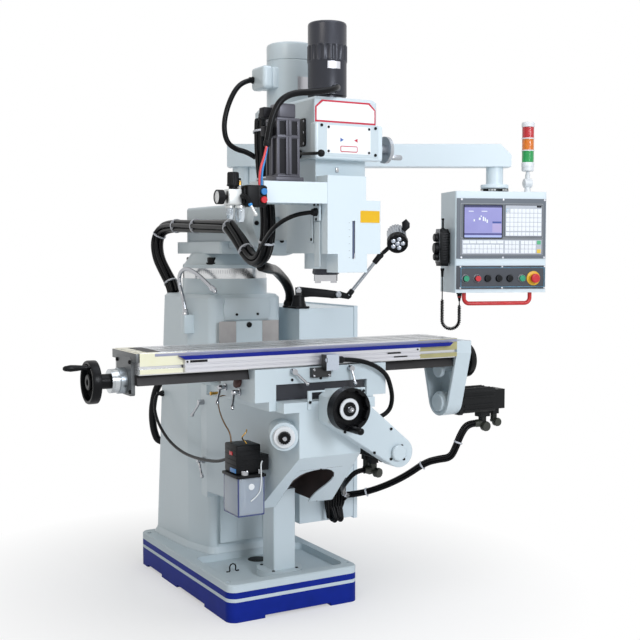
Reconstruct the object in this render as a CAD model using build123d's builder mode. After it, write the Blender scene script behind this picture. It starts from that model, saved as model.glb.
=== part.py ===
from build123d import *
import os
from math import cos, hypot, pi, radians, sin, sqrt, tan

# CNC turret mill, millimetres, Z up. The origin is on the floor under the middle of the base.
# X runs to the operator's right, Y to the back of the machine.

os.makedirs("parts", exist_ok=True)

# Clearances
slide_gap = 0.2
turn_gap = 0.05
round_gap = 0.3
face_gap = 0.3

# Base
base_width = 590.0
base_depth = 982.0
base_height = 150.0
base_corner = 40.0
base_wall = 40.0
rim_front = 52.0
tray_depth = 30.0
tray_plate = 35.0
foot_notch = 12.0
anchor_side = 23.0
anchor_end = 61.0
anchor_x = base_width / 2 - anchor_side
anchor_y = base_depth / 2 - anchor_end
anchor_radius = 10.0

# Column, post and turret
column_half = 208.0
column_rear = 408.0
sole_half = 232.0
sole_rear = 470.0
column_shoulder = 120.0
column_front = -40.0
column_front_half = 165.0
column_top = 1262.0
column_wall = 42.0
way_root_half = 117.0
way_half = 142.0
way_recess_half = 62.0
way_front = -70.0
way_bottom = 200.0
way_top = 1150.0
turret_y = 179.0
turret_radius = 186.0
neck_radius = 188.0
neck_top = 1330.0
ring_top = 1375.0
flange_top = 1394.0
post_setback = 151.0
post_y = -base_depth / 2 + post_setback
post_half = 50.0
post_top = 480.0
screw_radius = 20.0

# Ram, knuckle and head
ram_half = 105.0
ram_floor = 1490.0
ram_roof = 1645.0
ram_front = -315.0
ram_rear = 356.0
key_half = 90.0
key_depth = 28.0
swivel_z = 1560.0
swivel_radius = 130.0
swivel_face = -345.0
knuckle_face = -375.0
nod_y = -520.0
nod_half = 60.0
nod_pin_radius = 20.0
lug_radius = 70.0
lug_width = 38.0
head_half = 105.0
head_rear = -590.0
head_front = -832.0
head_roof = 1781.0
head_floor = 1440.0
quill_y = -725.0
quill_radius = 49.0
quill_nose = 1362.0
quill_roof = 1760.0
spindle_radius = 30.0
nose_radius = 44.44
nose_length = 25.0
taper_radius = 22.225
taper_length = 68.0
drawbar_bore = 8.5
housing_half = 130.0
housing_rear = -350.0
housing_front = -868.0
housing_roof = 2000.0
housing_wall = 10.0
cover_front = -912.0
cover_wall = 3.0
servo_bracket_left = -340.0
servo_bracket_floor = 1616.0
servo_bracket_roof = 1692.0
servo_x = -234.0
servo_y = -825.0

# Knee, saddle and table
knee_front = -760.0
knee_rear = -100.0
knee_front_half = 133.0
knee_half = 215.0
knee_chin = 680.0
knee_bend = -490.0
knee_foot = 440.0
knee_top = 890.0
knee_flange_rear = -42.0
way_plate_half = 198.0
way_plate_height = 38.0
cross_drop = 17.0
cross_z = knee_top - cross_drop
ball_screw_radius = 16.0
journal_radius = 12.0
belt_x = 270.0
belt_z = 678.0
belt_left = -50.0
belt_low_radius = 58.0
belt_front = -830.0
saddle_half = 286.0
saddle_front = -700.0
saddle_rear = -400.0
saddle_height = 123.0
saddle_top = knee_top + saddle_height
table_left = -721.0
table_right = 649.0
table_front = -679.0
table_rear = -425.0
table_height = 80.0
table_top = saddle_top + table_height
long_y = -552.0
long_drop = 26.0
long_z = saddle_top - long_drop
rail_root = 90.0
rail_foot = 105.0
rail_inner = 45.0
rail_depth = 38.0
rail_floor = saddle_top - rail_depth
slot_pitch = 63.0
slot_width = 16.0
left_bracket_width = 39.0
right_bracket_width = 73.0
bracket_left = table_left - left_bracket_width
bracket_right = table_right + right_bracket_width
motor_drop = 175.0
motor_z = long_z - motor_drop

# Cabinet, lamp, boom and pendant
cabinet_left = 228.0
cabinet_right = 505.0
cabinet_front = -100.0
cabinet_rear = 400.0
cabinet_floor = 245.0
cabinet_top = 1198.0
cabinet_wall = 4.0
door_thickness = 20.0
lamp_foot = (240.0, -72.0)
lamp_hip = (240.0, -72.0, 1278.0)
lamp_elbow = (392.0, -159.0, 1260.0)
lamp_wrist = (551.0, -250.0, 1431.0)
lamp_centre = (615.0, -286.0, 1497.0)
boom_x = 50.0
boom_y = 104.0
boom_radius = 40.0
boom_floor = 1818.0
boom_size = 98.0
boom_angle = -29.745
boom_reach = 1117.0
pendant_angle = -17.7
pendant_left = -215.0
pendant_right = 205.0
pendant_depth = 200.0
pendant_floor = 1269.0
pendant_top = 1707.0
plate_thickness = 4.0
button_row = 1331.0
button_radius = 12.0
button_stem = 8.0

# Cords
loom_diameter = 62.0
conduit_diameter = 42.0
hank_diameter = 13.0
curl_wire = 5.0
curl_radius = 6.0
curl_pitch = 7.5


def block(x0, x1, y0, y1, z0, z1, mode=Mode.ADD, base=Plane.XY):
    """A box between two corners, in the base plane's own coordinates."""
    with Locations(base.location * Pos((x0 + x1) / 2, (y0 + y1) / 2, (z0 + z1) / 2)):
        Box(abs(x1 - x0), abs(y1 - y0), abs(z1 - z0), mode=mode)


def rod(start, direction, radius, length, mode=Mode.ADD):
    """A round bar from a point along a direction."""
    with Locations(Plane(origin=start, z_dir=direction)):
        Cylinder(radius, length, align=(Align.CENTER, Align.CENTER, Align.MIN), mode=mode)


def bar(start, end, radius, mode=Mode.ADD):
    """A round bar between two points."""
    run = Vector(*end) - Vector(*start)
    rod(start, run, radius, run.length, mode)


def ball(centre, radius, mode=Mode.ADD):
    """A ball about a point."""
    with Locations(centre):
        Sphere(radius, mode=mode)


def prism(plane, points, depth, mode=Mode.ADD):
    """A closed outline in a plane, carried along the plane's normal."""
    with BuildSketch(plane) as outline:
        with BuildLine():
            Polyline(*points, close=True)
        make_face()
    extrude(outline.sketch, amount=depth, mode=mode)


def beam(start, end, width, height, mode=Mode.ADD):
    """A rectangular bar between two points, its width level and, in an upright bar, across the lamp."""
    run = Vector(*end) - Vector(*start)
    level = lamp_side if hypot(run.X, run.Y) < 0.01 else Vector(-run.Y, run.X, 0).normalized()
    with Locations(Plane(origin=start, x_dir=level, z_dir=run)):
        Box(width, height, run.length, align=(Align.CENTER, Align.CENTER, Align.MIN), mode=mode)


def bend_radii(points):
    """One bend radius for each inner point of a cord's route."""
    spots = [Vector(*point) for point in points]
    radii = []
    for before, here, after in zip(spots, spots[1:], spots[2:]):
        into, away = here - before, after - here
        turn = radians(into.get_angle(away))
        radii.append(0.45 * min(into.length, away.length) / tan(turn / 2))
    return radii


cord_log = []


def tube(name, points, diameter):
    """A round cord along its route; prints its bends and keeps section times length."""
    radii = bend_radii(points)
    with BuildLine() as route:
        FilletPolyline(*points, radius=radii)
    with BuildSketch(Plane(origin=route.line @ 0, z_dir=route.line % 0)) as ring:
        Circle(diameter / 2)
    sweep(sections=ring.sketch, path=route.line)
    length = sum(edge.length for edge in route.line.edges())
    cord_log.append(length * pi * diameter**2 / 4)
    print(name, "length", round(length), "bends", [round(radius) for radius in radii])


def two_arcs(p1, t1, p2, t2):
    """The joint of two tangent arcs between two points with given directions."""
    span, both = p2 - p1, t1 + t2
    spread = 2 * (1 - t1.dot(t2))
    reach = (sqrt(span.dot(both) ** 2 + spread * span.dot(span)) - span.dot(both)) / spread
    middle = (p1 + p2 + (t1 - t2) * reach) * 0.5
    heading = (p2 - t2 * reach - p1 - t1 * reach).normalized()
    return middle, heading


def bent_wire(spots):
    """Edges through (point, direction) pairs; a pair in line is joined straight."""
    pieces = []
    for (p1, t1), (p2, t2) in zip(spots, spots[1:]):
        if (p2 - p1).normalized().dot(t1) > 0.999999 and t1.dot(t2) > 0.999999:
            pieces.append(Edge.make_line(p1, p2))
            continue
        middle, heading = two_arcs(p1, t1, p2, t2)
        pieces.append(Edge.make_tangent_arc(p1, t1, middle))
        pieces.append(Edge.make_tangent_arc(middle, heading, p2))
    return pieces


def self_gap(pieces, diameter):
    """Least clear distance between strands of one cord, on points along it."""
    spots, along, run = [], [], 0.0
    for piece in pieces:
        count = max(2, int(piece.length / (diameter * 0.25)))
        for step in range(count):
            spots.append(piece @ (step / count))
            along.append(run + piece.length * step / count)
        run += piece.length
    least = 1e9
    for i, spot in enumerate(spots):
        for j in range(i + 1, len(spots)):
            if along[j] - along[i] > 2.2 * diameter:
                least = min(least, (spots[j] - spot).length)
    return least - diameter


def wound(name, spots, diameter):
    """One unbroken wound cord; prints its least self gap, its tightest bend and its length."""
    pieces = bent_wire(spots)
    tightest = min(piece.radius for piece in pieces if piece.geom_type == GeomType.CIRCLE)
    route = Wire(pieces)
    with BuildSketch(Plane(origin=spots[0][0], z_dir=spots[0][1])) as ring:
        Circle(diameter / 2)
    sweep(sections=ring.sketch, path=route)
    cord_log.append(route.length * pi * diameter**2 / 4)
    gap = self_gap(pieces, diameter)
    print(name, "length", round(route.length), "gap", round(gap, 2), "tightest", round(tightest, 2))


# Frame: base

with BuildPart() as base_casting:
    with BuildSketch():
        RectangleRounded(base_width, base_depth, base_corner)
    extrude(amount=base_height)
    chamfer(base_casting.faces().sort_by(Axis.Z)[-1].edges(), 5)
    tray_front_y = -base_depth / 2 + rim_front
    tray_floor = base_height - tray_depth
    with BuildSketch(Plane.XY.offset(base_height)):
        with Locations((0, (tray_front_y + column_front - 12) / 2)):
            RectangleRounded(base_width - 84, column_front - 12 - tray_front_y, 30)
    extrude(amount=-tray_depth, mode=Mode.SUBTRACT)
    with BuildSketch():
        RectangleRounded(base_width - 2 * base_wall, base_depth - 2 * base_wall, base_corner / 2)
    extrude(amount=tray_floor - tray_plate, mode=Mode.SUBTRACT)
    with Locations(*[(x, y, 0) for x in (-anchor_x, anchor_x) for y in (-anchor_y, anchor_y)]):
        Cylinder(anchor_radius, 400, mode=Mode.SUBTRACT)
    rod((0, post_y, 0), (0, 0, 1), 36, base_height, Mode.SUBTRACT)
    rod((15, -110, 0), (0, 0, 1), 30, base_height, Mode.SUBTRACT)
    block(-140, 160, -base_depth, base_depth, 0, foot_notch, Mode.SUBTRACT)
    block(-base_width, base_width, -245, 50, 0, foot_notch, Mode.SUBTRACT)
    block(-base_width, base_width, 225, 400, 0, foot_notch, Mode.SUBTRACT)
base_casting.part.label = "base_casting"
export_step(base_casting.part, "parts/base_casting.step")

with BuildPart() as knee_post:
    rod((0, post_y, tray_floor), (0, 0, 1), 93, 30)
    block(-post_half, post_half, post_y - post_half, post_y + post_half, tray_floor + 30, post_top)
    fillet(knee_post.edges().filter_by(Axis.Z).filter_by(GeomType.LINE), 6)
    rod((0, post_y, tray_floor), (0, 0, 1), 32, post_top - tray_floor - 60, Mode.SUBTRACT)
    rod((0, post_y, tray_floor), (0, 0, 1), screw_radius + 0.1, post_top, Mode.SUBTRACT)
    with Locations((0, post_y, tray_floor + 30)):
        with PolarLocations(76, 4, 45):
            Cylinder(7, 80, mode=Mode.SUBTRACT)
knee_post.part.label = "knee_post"
export_step(knee_post.part, "parts/knee_post.step")

# Frame: column

column_plan = [
    (-column_half, column_rear),
    (-column_half, column_shoulder),
    (-column_front_half, column_front),
    (column_front_half, column_front),
    (column_half, column_shoulder),
    (column_half, column_rear),
]
sole_plan = [
    (-sole_half, sole_rear),
    (-column_half, column_shoulder),
    (-column_front_half, column_front),
    (column_front_half, column_front),
    (column_half, column_shoulder),
    (sole_half, sole_rear),
]
hollow_plan = [
    (-column_half + column_wall, column_rear - column_wall),
    (-column_half + column_wall, column_shoulder),
    (-column_front_half + column_wall, column_front + column_wall),
    (column_front_half - column_wall, column_front + column_wall),
    (column_half - column_wall, column_shoulder),
    (column_half - column_wall, column_rear - column_wall),
]

loop_way = Vector(-0.8, 0.6, 0)
loop_top = Vector(-165, 444, 846)
loop_low = Vector(-174, 464, 561)
lead_gland = Vector(-226, 386, 800)
with BuildPart() as column_casting:
    with BuildSketch(Plane.XY.offset(base_height)) as column_sole:
        with BuildLine():
            Polyline(*sole_plan, close=True)
        make_face()
        fillet(column_sole.vertices(), 38)
    with BuildSketch(Plane.XY.offset(column_top)) as column_crown:
        with BuildLine():
            Polyline(*column_plan, close=True)
        make_face()
        fillet(column_crown.vertices(), 38)
    loft([column_sole.sketch, column_crown.sketch], ruled=True)
    chamfer(column_casting.faces().sort_by(Axis.Z)[-1].edges(), 14)
    with BuildSketch(Plane.XY.offset(base_height)) as skirt:
        with BuildLine():
            Polyline(*sole_plan, close=True)
        make_face()
        fillet(skirt.vertices(), 38)
        offset(amount=14, mode=Mode.REPLACE)
    extrude(skirt.sketch, amount=26, taper=28)
    rod((0, turret_y, column_top - 90), (0, 0, 1), neck_radius, neck_top - column_top + 90)
    dovetail = [
        (-way_root_half, column_front + 12),
        (-way_root_half, column_front),
        (-way_half, way_front),
        (way_half, way_front),
        (way_root_half, column_front),
        (way_root_half, column_front + 12),
    ]
    prism(Plane.XY.offset(way_bottom), dovetail, way_top - way_bottom)
    prism(Plane.XY.offset(base_height), hollow_plan, column_top - base_height - 60, Mode.SUBTRACT)
    recess = way_recess_half
    block(-recess, recess, way_front - 1, way_front + 3, way_bottom, way_top + 1, Mode.SUBTRACT)
    block(column_half - 8, cabinet_left, 108, 132, 420, 470)
    block(column_half - 8, cabinet_left, 108, 132, 980, 1030)
    for gland in (loop_top, loop_low):
        rod(gland - loop_way * 27, loop_way, 22, 27)
    rod(lead_gland + Vector(20, 0, 0), (-1, 0, 0), 13, 20)
column_casting.part.label = "column_casting"
export_step(column_casting.part, "parts/column_casting.step")

with BuildPart() as turret_ring:
    rod((0, turret_y, neck_top), (0, 0, 1), turret_radius, ring_top - neck_top)
    rod((0, turret_y, neck_top), (0, 0, 1), 90, ring_top - neck_top, Mode.SUBTRACT)
turret_ring.part.label = "turret_ring"
export_step(turret_ring.part, "parts/turret_ring.step")



def column_side(y):
    """The column's slanting left flank at a depth."""
    share = (y - column_front) / (column_shoulder - column_front)
    return -column_front_half - (column_half - column_front_half) * share


with BuildPart() as coolant_pipe:
    valve_foot = [
        (-column_half - 32, 74),
        (column_side(74), 74),
        (column_side(112), 112),
        (-column_half - 32, 112),
    ]
    prism(Plane.XY.offset(1094), valve_foot, 81)
    nozzle_route = [
        (-column_half - 18, 94, 1175),
        (-column_half - 20, 100, 1230),
        (-column_half - 30, 130, 1300),
        (-column_half - 32, 128, 1352),
        (-column_half - 22, 80, 1378),
        (-column_half - 2, 10, 1356),
        (-column_half + 14, -60, 1318),
        (-column_half + 24, -105, 1290),
    ]
    tube("coolant pipe", nozzle_route, 12)
    bar(nozzle_route[-1], (-column_half + 30, -130, 1274), 10)
    rod((-column_half - 18, 94, 1175), (0, 0, 1), 11, 16)
coolant_pipe.part.label = "coolant_pipe"
export_step(coolant_pipe.part, "parts/coolant_pipe.step")

# Frame: cabinet with the lamp's foot and the hook of the spare cable

lamp_way = Vector(cos(radians(boom_angle)), sin(radians(boom_angle)), 0)
lamp_side = Vector(-lamp_way.Y, lamp_way.X, 0)

with BuildPart() as cabinet_shell:
    block(cabinet_left, cabinet_right, cabinet_front, cabinet_rear, cabinet_floor, cabinet_top)
    block(
        cabinet_left + cabinet_wall,
        cabinet_right,
        cabinet_front + cabinet_wall,
        cabinet_rear - cabinet_wall,
        cabinet_floor + cabinet_wall,
        cabinet_top - cabinet_wall,
        Mode.SUBTRACT,
    )
    rod((*lamp_foot, cabinet_top), (0, 0, 1), 32, 12)
    rod((*lamp_foot, cabinet_top + 12), (0, 0, 1), 22, 46)
    for side in (-1, 1):
        cheek = Vector(*lamp_hip) + lamp_side * (side * 15)
        beam(cheek - Vector(0, 0, 26), cheek + Vector(0, 0, 12), 9.4, 30)
    hook_y = cabinet_front - 34
    hook_z = 429.5
    bar((333, hook_y, hook_z), (447, hook_y, hook_z), 5.5)
    bar((333, hook_y, hook_z), (333, cabinet_front + 2, hook_z), 5.5)
    bar((447, hook_y, hook_z), (447, cabinet_front + 2, hook_z), 5.5)
cabinet_shell.part.label = "cabinet_shell"
export_step(cabinet_shell.part, "parts/cabinet_shell.step")

door_inner = cabinet_right + face_gap
door_outer = door_inner + door_thickness
with BuildPart() as cabinet_door:
    block(door_inner, door_outer, cabinet_front - 5, cabinet_rear, cabinet_floor - 6, cabinet_top + 6)
    fillet(cabinet_door.edges().filter_by(Axis.Z), 3)
    block(
        door_inner,
        door_outer - 3,
        cabinet_front + 12,
        cabinet_rear - 12,
        cabinet_floor + 12,
        cabinet_top - 12,
        Mode.SUBTRACT,
    )
    for low in (380, 960):
        rod((door_outer, cabinet_rear, low), (0, 0, 1), 7, 90)
    block(door_outer - 2, door_outer + 14, cabinet_front + 25, cabinet_front + 50, 690, 810)
cabinet_door.part.label = "cabinet_door"
export_step(cabinet_door.part, "parts/cabinet_door.step")

with BuildPart() as lamp_arm:
    beam(lamp_hip, lamp_elbow, 20, 26)
    rod(Vector(*lamp_hip) - lamp_side * 10, lamp_side, 14, 20)
    elbow_end = Vector(*lamp_elbow)
    rod(elbow_end - lamp_side * 10, lamp_side, 14, 20)
lamp_arm.part.label = "lamp_arm"
export_step(lamp_arm.part, "parts/lamp_arm.step")

with BuildPart() as lamp_rod:
    lift = (Vector(*lamp_wrist) - elbow_end).normalized()
    for side in (-1, 1):
        cheek = elbow_end + lamp_side * (side * 14.5)
        beam(cheek - lift * 12, cheek + lift * 34, 8, 22)
    beam(elbow_end + lift * 24, elbow_end + lift * 46, 33, 18)
    bar(elbow_end + lift * 40, Vector(*lamp_wrist), 8)
    rod(Vector(*lamp_wrist) - lamp_side * 12, lamp_side, 13, 24)
lamp_rod.part.label = "lamp_rod"
export_step(lamp_rod.part, "parts/lamp_rod.step")

lamp_axis = Vector(-0.43, -0.75, -0.5).normalized()
with BuildPart() as lamp_head:
    middle = Vector(*lamp_centre)
    neck = (middle - Vector(*lamp_wrist)).normalized()
    bar(Vector(*lamp_wrist) + neck * (13 + face_gap), middle, 9)
    rod(middle - lamp_axis * 75, lamp_axis, 34, 83)
    for ring in range(8):
        rod(middle - lamp_axis * (71 - 9 * ring), lamp_axis, 40, 5)
    rod(middle + lamp_axis * 6, lamp_axis, 47, 30)
    rod(middle + lamp_axis * 32, lamp_axis, 38, 5, Mode.SUBTRACT)
    grip = lamp_way * 34 + Vector(0, 0, 38)
    bar(middle + lamp_axis * 12, middle + grip + lamp_axis * 4, 6)
    bar(middle + grip + lamp_axis * 16, middle + grip - lamp_axis * 46, 8)
lamp_head.part.label = "lamp_head"
export_step(lamp_head.part, "parts/lamp_head.step")

# Turret, ram and boom

with BuildPart() as turret_saddle:
    rod((0, turret_y, ring_top), (0, 0, 1), turret_radius, flange_top - ring_top)
    chamfer(turret_saddle.edges().group_by(Axis.Z)[-1], 5)
    with Locations((0, turret_y, flange_top)):
        Cone(turret_radius - 8, 148, 1440 - flange_top, align=(Align.CENTER, Align.CENTER, Align.MIN))
    with BuildSketch(Plane.XY.offset(1438)):
        with Locations((0, 180)):
            RectangleRounded(260, 480, 12)
    extrude(amount=ram_floor - 1438)
    block(-key_half, key_half, -60, 420, ram_floor - key_depth, ram_floor, Mode.SUBTRACT)
    with Locations((0, turret_y, flange_top)):
        with PolarLocations(162, 4, 45):
            Cylinder(16, 26, align=(Align.CENTER, Align.CENTER, Align.MIN))
turret_saddle.part.label = "turret_saddle"
export_step(turret_saddle.part, "parts/turret_saddle.step")

pedestal_top = 1720.0
with BuildPart() as ram_casting:
    block(-ram_half, ram_half, ram_front, ram_rear, ram_floor, ram_roof)
    fillet(ram_casting.edges().filter_by(Axis.Y).group_by(Axis.Z)[-1], 14)
    key = key_half - slide_gap
    block(-key, key, ram_front + 12, ram_rear, ram_floor - key_depth + slide_gap, ram_floor)
    rod((0, ram_front + 1, swivel_z), (0, -1, 0), swivel_radius, ram_front + 1 - swivel_face)
    rod((boom_x, boom_y, ram_roof - 2), (0, 0, 1), 48, pedestal_top - ram_roof + 2)
    rod((boom_x, boom_y, pedestal_top - 60), (0, 0, 1), 20 + turn_gap, 80, Mode.SUBTRACT)
ram_casting.part.label = "ram_casting"
export_step(ram_casting.part, "parts/ram_casting.step")

boom_plane = Plane(
    origin=(boom_x, boom_y, 0),
    x_dir=(cos(radians(boom_angle)), sin(radians(boom_angle)), 0),
    z_dir=(0, 0, 1),
)
boom_tip = boom_plane.from_local_coords((boom_reach, 0, 0))
boom_roof = boom_floor + boom_size
swivel_low = 1725.0

with BuildPart() as pendant_boom:
    rod((boom_x, boom_y, pedestal_top - 58), (0, 0, 1), 20, 70)
    rod((boom_x, boom_y, pedestal_top), (0, 0, 1), boom_radius, boom_floor - pedestal_top + 2)
    side_view = Plane(
        origin=boom_plane.from_local_coords((0, -boom_size / 2, 0)),
        x_dir=boom_plane.x_dir,
        z_dir=-boom_plane.y_dir,
    )
    profile = [
        (-60, boom_floor),
        (boom_reach + 66, boom_floor),
        (boom_reach + 66, boom_roof - 48),
        (boom_reach + 18, boom_roof),
        (-60, boom_roof),
    ]
    prism(side_view, profile, -boom_size)
    gusset = [(36, boom_floor), (36, pedestal_top + 20), (525, boom_floor - 16), (525, boom_floor)]
    prism(side_view.offset(-20), gusset, -(boom_size - 40))
    with Locations((boom_tip.X, boom_tip.Y, swivel_low)):
        Cylinder(37.5, boom_floor - swivel_low + 2, align=(Align.CENTER, Align.CENTER, Align.MIN))
pendant_boom.part.label = "pendant_boom"
export_step(pendant_boom.part, "parts/pendant_boom.step")

# Pendant

pendant_plane = Plane(
    origin=(boom_tip.X, boom_tip.Y, 0),
    x_dir=(cos(radians(pendant_angle)), sin(radians(pendant_angle)), 0),
    z_dir=(0, 0, 1),
)
pendant_face = -pendant_depth / 2
screen_low = 1417.0
screen_high = 1676.0
switch_low = 1285.0
switch_high = 1386.0
panel_left = pendant_left + 6
panel_right = pendant_right - 6
button_left = (-169.0, -116.0, -67.0, -15.5, 34.5, 90.0, 143.5)
stop_x = button_left[6]


def on_pendant(x, y, z):
    """A point of the pendant in the machine's frame."""
    return pendant_plane.from_local_coords((x, y, z))


out_of_face = -pendant_plane.y_dir
gland_spot = (-166.0, -20.0)
exit_spot = (-240.0, -5.0)

with BuildPart() as pendant_box:
    half_depth = pendant_depth / 2
    block(pendant_left, pendant_right, -half_depth, half_depth, pendant_floor, pendant_top, base=pendant_plane)
    fillet(pendant_box.edges().filter_by(Axis.Z), 8)
    block(
        panel_left + 14, panel_right - 14, -half_depth, half_depth - 5, screen_low + 10, screen_high - 10,
        Mode.SUBTRACT, pendant_plane,
    )
    block(
        panel_left + 14, panel_right - 14, -half_depth, half_depth - 5, switch_low + 10, switch_high - 10,
        Mode.SUBTRACT, pendant_plane,
    )
    rod(on_pendant(0, 0, pendant_top), (0, 0, 1), 60, swivel_low - face_gap - pendant_top)
    rod(on_pendant(*gland_spot, pendant_floor), (0, 0, -1), 9, 24)
    handle_y = -half_depth + 35
    with BuildLine() as grip_route:
        FilletPolyline(
            on_pendant(-161, handle_y, pendant_floor + 4),
            on_pendant(-161, handle_y, pendant_floor - 48),
            on_pendant(144, handle_y, pendant_floor - 48),
            on_pendant(144, handle_y, pendant_floor + 4),
            radius=24,
        )
    with BuildSketch(Plane(origin=grip_route.line @ 0, z_dir=grip_route.line % 0)) as grip_ring:
        Circle(9)
    sweep(sections=grip_ring.sketch, path=grip_route.line)
pendant_box.part.label = "pendant_box"
export_step(pendant_box.part, "parts/pendant_box.step")

with BuildPart() as control_panel:
    plate_front = pendant_face - plate_thickness
    block(
        panel_left, panel_right, plate_front, pendant_face, screen_low, screen_high, base=pendant_plane
    )
    block(
        panel_left, panel_right, plate_front, pendant_face, switch_low, switch_high, base=pendant_plane
    )
    for spot in button_left[2:6]:
        rod(on_pendant(spot, plate_front, button_row), out_of_face, 13, 12)
    for spot in (button_left[0], button_left[1]):
        rod(on_pendant(spot, plate_front, button_row), out_of_face, 15, 6)
        rod(
            on_pendant(spot, pendant_face + 1, button_row), out_of_face, button_stem + round_gap, 30,
            Mode.SUBTRACT,
        )
    rod(on_pendant(stop_x, plate_front, button_row), out_of_face, 30, 3)
    rod(on_pendant(stop_x, plate_front, button_row), out_of_face, 17, 12)
    rod(
        on_pendant(stop_x, pendant_face + 1, button_row), out_of_face, button_stem + round_gap, 40,
        Mode.SUBTRACT,
    )
control_panel.part.label = "control_panel"
export_step(control_panel.part, "parts/control_panel.step")

with BuildPart() as start_button:
    rod(on_pendant(button_left[0], pendant_face + 6, button_row), out_of_face, button_stem, 26)
    rod(on_pendant(button_left[0], plate_front - 11, button_row), out_of_face, button_radius, 8)
start_button.part.label = "start_button"
export_step(start_button.part, "parts/start_button.step")

with BuildPart() as stop_button:
    rod(on_pendant(button_left[1], pendant_face + 6, button_row), out_of_face, button_stem, 26)
    rod(on_pendant(button_left[1], plate_front - 11, button_row), out_of_face, button_radius, 8)
stop_button.part.label = "stop_button"
export_step(stop_button.part, "parts/stop_button.step")

with BuildPart() as emergency_stop:
    rod(on_pendant(stop_x, pendant_face + 6, button_row), out_of_face, button_stem, 34)
    rod(on_pendant(stop_x, plate_front - 18, button_row), out_of_face, 20, 15)
    fillet(emergency_stop.edges().filter_by(GeomType.CIRCLE).sort_by(Axis(
        on_pendant(stop_x, 0, button_row), out_of_face))[-1], 6)
emergency_stop.part.label = "emergency_stop"
export_step(emergency_stop.part, "parts/emergency_stop.step")

light_x = 164.0
light_y = 20.0
with BuildPart() as stack_light:
    rod(on_pendant(light_x, light_y, pendant_top), (0, 0, 1), 36, 6)
    rod(on_pendant(light_x, light_y, pendant_top), (0, 0, 1), 11, 100)
    rod(on_pendant(light_x, light_y, 1804), (0, 0, 1), 27, 38)
    for low in (1844, 1897, 1950):
        rod(on_pendant(light_x, light_y, low - 3), (0, 0, 1), 24, 6)
        rod(on_pendant(light_x, light_y, low), (0, 0, 1), 26.5, 51)
    rod(on_pendant(light_x, light_y, 1999), (0, 0, 1), 24, 6)
    rod(on_pendant(light_x, light_y, 2003), (0, 0, 1), 27, 19)
stack_light.part.label = "stack_light"
export_step(stack_light.part, "parts/stack_light.step")

handset_low = 1392.0
with BuildPart() as handset:
    block(pendant_left - 46, pendant_left, -42, 32, handset_low + 4, 1554, base=pendant_plane)
    fillet(handset.edges().filter_by(Axis.Z), 6)
    block(pendant_left - 30, pendant_left, -14, 8, 1550, 1600, base=pendant_plane)
    for level, reach in ((1508, 18), (1462, 24), (1424, 16)):
        rod(on_pendant(pendant_left - 46, -5, level), -pendant_plane.x_dir, reach, 16)
    rod(on_pendant(*exit_spot, handset_low - 30), (0, 0, 1), 8, 40)
handset.part.label = "handset"
export_step(handset.part, "parts/handset.step")

curl_top = 1240.0
curl_low = 1146.0
exit_point = on_pendant(*exit_spot, handset_low - 30)
gland_point = on_pendant(*gland_spot, pendant_floor - 24)
across = Vector(gland_point.X - exit_point.X, gland_point.Y - exit_point.Y, 0)
loop_radius = across.length / 2
across = across.normalized()
aside = Vector(-across.Y, across.X, 0)
lead = 24.0
strand = curl_top - curl_low
far_strand = gland_point.Z - 6 - lead - curl_low
curl_run = strand + far_strand + pi * loop_radius
curl_turns = 2 * round(curl_run / curl_pitch / 2)
curl_step = curl_run / curl_turns


def curl_spot(run):
    """A point of the curled part of the cord, at a run along its hanging middle line."""
    turn = 2 * pi * run / curl_step
    if run <= strand:
        middle = Vector(exit_point.X, exit_point.Y, curl_top - run)
        inward = across
    elif run <= strand + pi * loop_radius:
        bend = (run - strand) / loop_radius
        inward = across * cos(bend) + Vector(0, 0, sin(bend))
        middle = Vector(exit_point.X, exit_point.Y, curl_low) + across * loop_radius - inward * loop_radius
    else:
        middle = Vector(gland_point.X, gland_point.Y, curl_low + run - strand - pi * loop_radius)
        inward = across * -1
    return middle + inward * (curl_radius * cos(turn)) + aside * (curl_radius * sin(turn))


def curl_heading(run):
    """The direction of the curled cord at a run."""
    return (curl_spot(run + 0.01) - curl_spot(run - 0.01)).normalized()


curl_spots = [
    (exit_point, Vector(0, 0, -1)),
    (Vector(exit_point.X, exit_point.Y, curl_top + lead), Vector(0, 0, -1)),
]
for half in range(2 * curl_turns + 1):
    run = min(max(half * curl_step / 2, 0.02), curl_run - 0.02)
    curl_spots.append((curl_spot(run), curl_heading(run)))
curl_spots.append((gland_point - Vector(0, 0, 6), Vector(0, 0, 1)))
curl_spots.append((gland_point, Vector(0, 0, 1)))

with BuildPart() as handset_cord:
    cord_log.clear()
    wound("handset cord", curl_spots, curl_wire)
print("handset cord curls", curl_turns, "volume ratio", round(handset_cord.part.volume / sum(cord_log), 4))
handset_cord.part.label = "handset_cord"
export_step(handset_cord.part, "parts/handset_cord.step")

# Knuckle and head

with BuildPart() as knuckle:
    rod((0, swivel_face, swivel_z), (0, -1, 0), swivel_radius, swivel_face - knuckle_face)
    block(-nod_half, nod_half, nod_y, knuckle_face + 1, swivel_z - 60, swivel_z + 60)
    rod((-nod_half, nod_y, swivel_z), (1, 0, 0), 60, 2 * nod_half)
    pin_reach = nod_half + lug_width + 14
    rod((-pin_reach, nod_y, swivel_z), (1, 0, 0), nod_pin_radius, 2 * pin_reach)
    with Locations(Plane(origin=(0, knuckle_face, swivel_z), z_dir=(0, -1, 0))):
        with PolarLocations(104, 4, 45):
            Cylinder(12, 16, align=(Align.CENTER, Align.CENTER, Align.MIN))
knuckle.part.label = "knuckle"
export_step(knuckle.part, "parts/knuckle.step")

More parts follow.
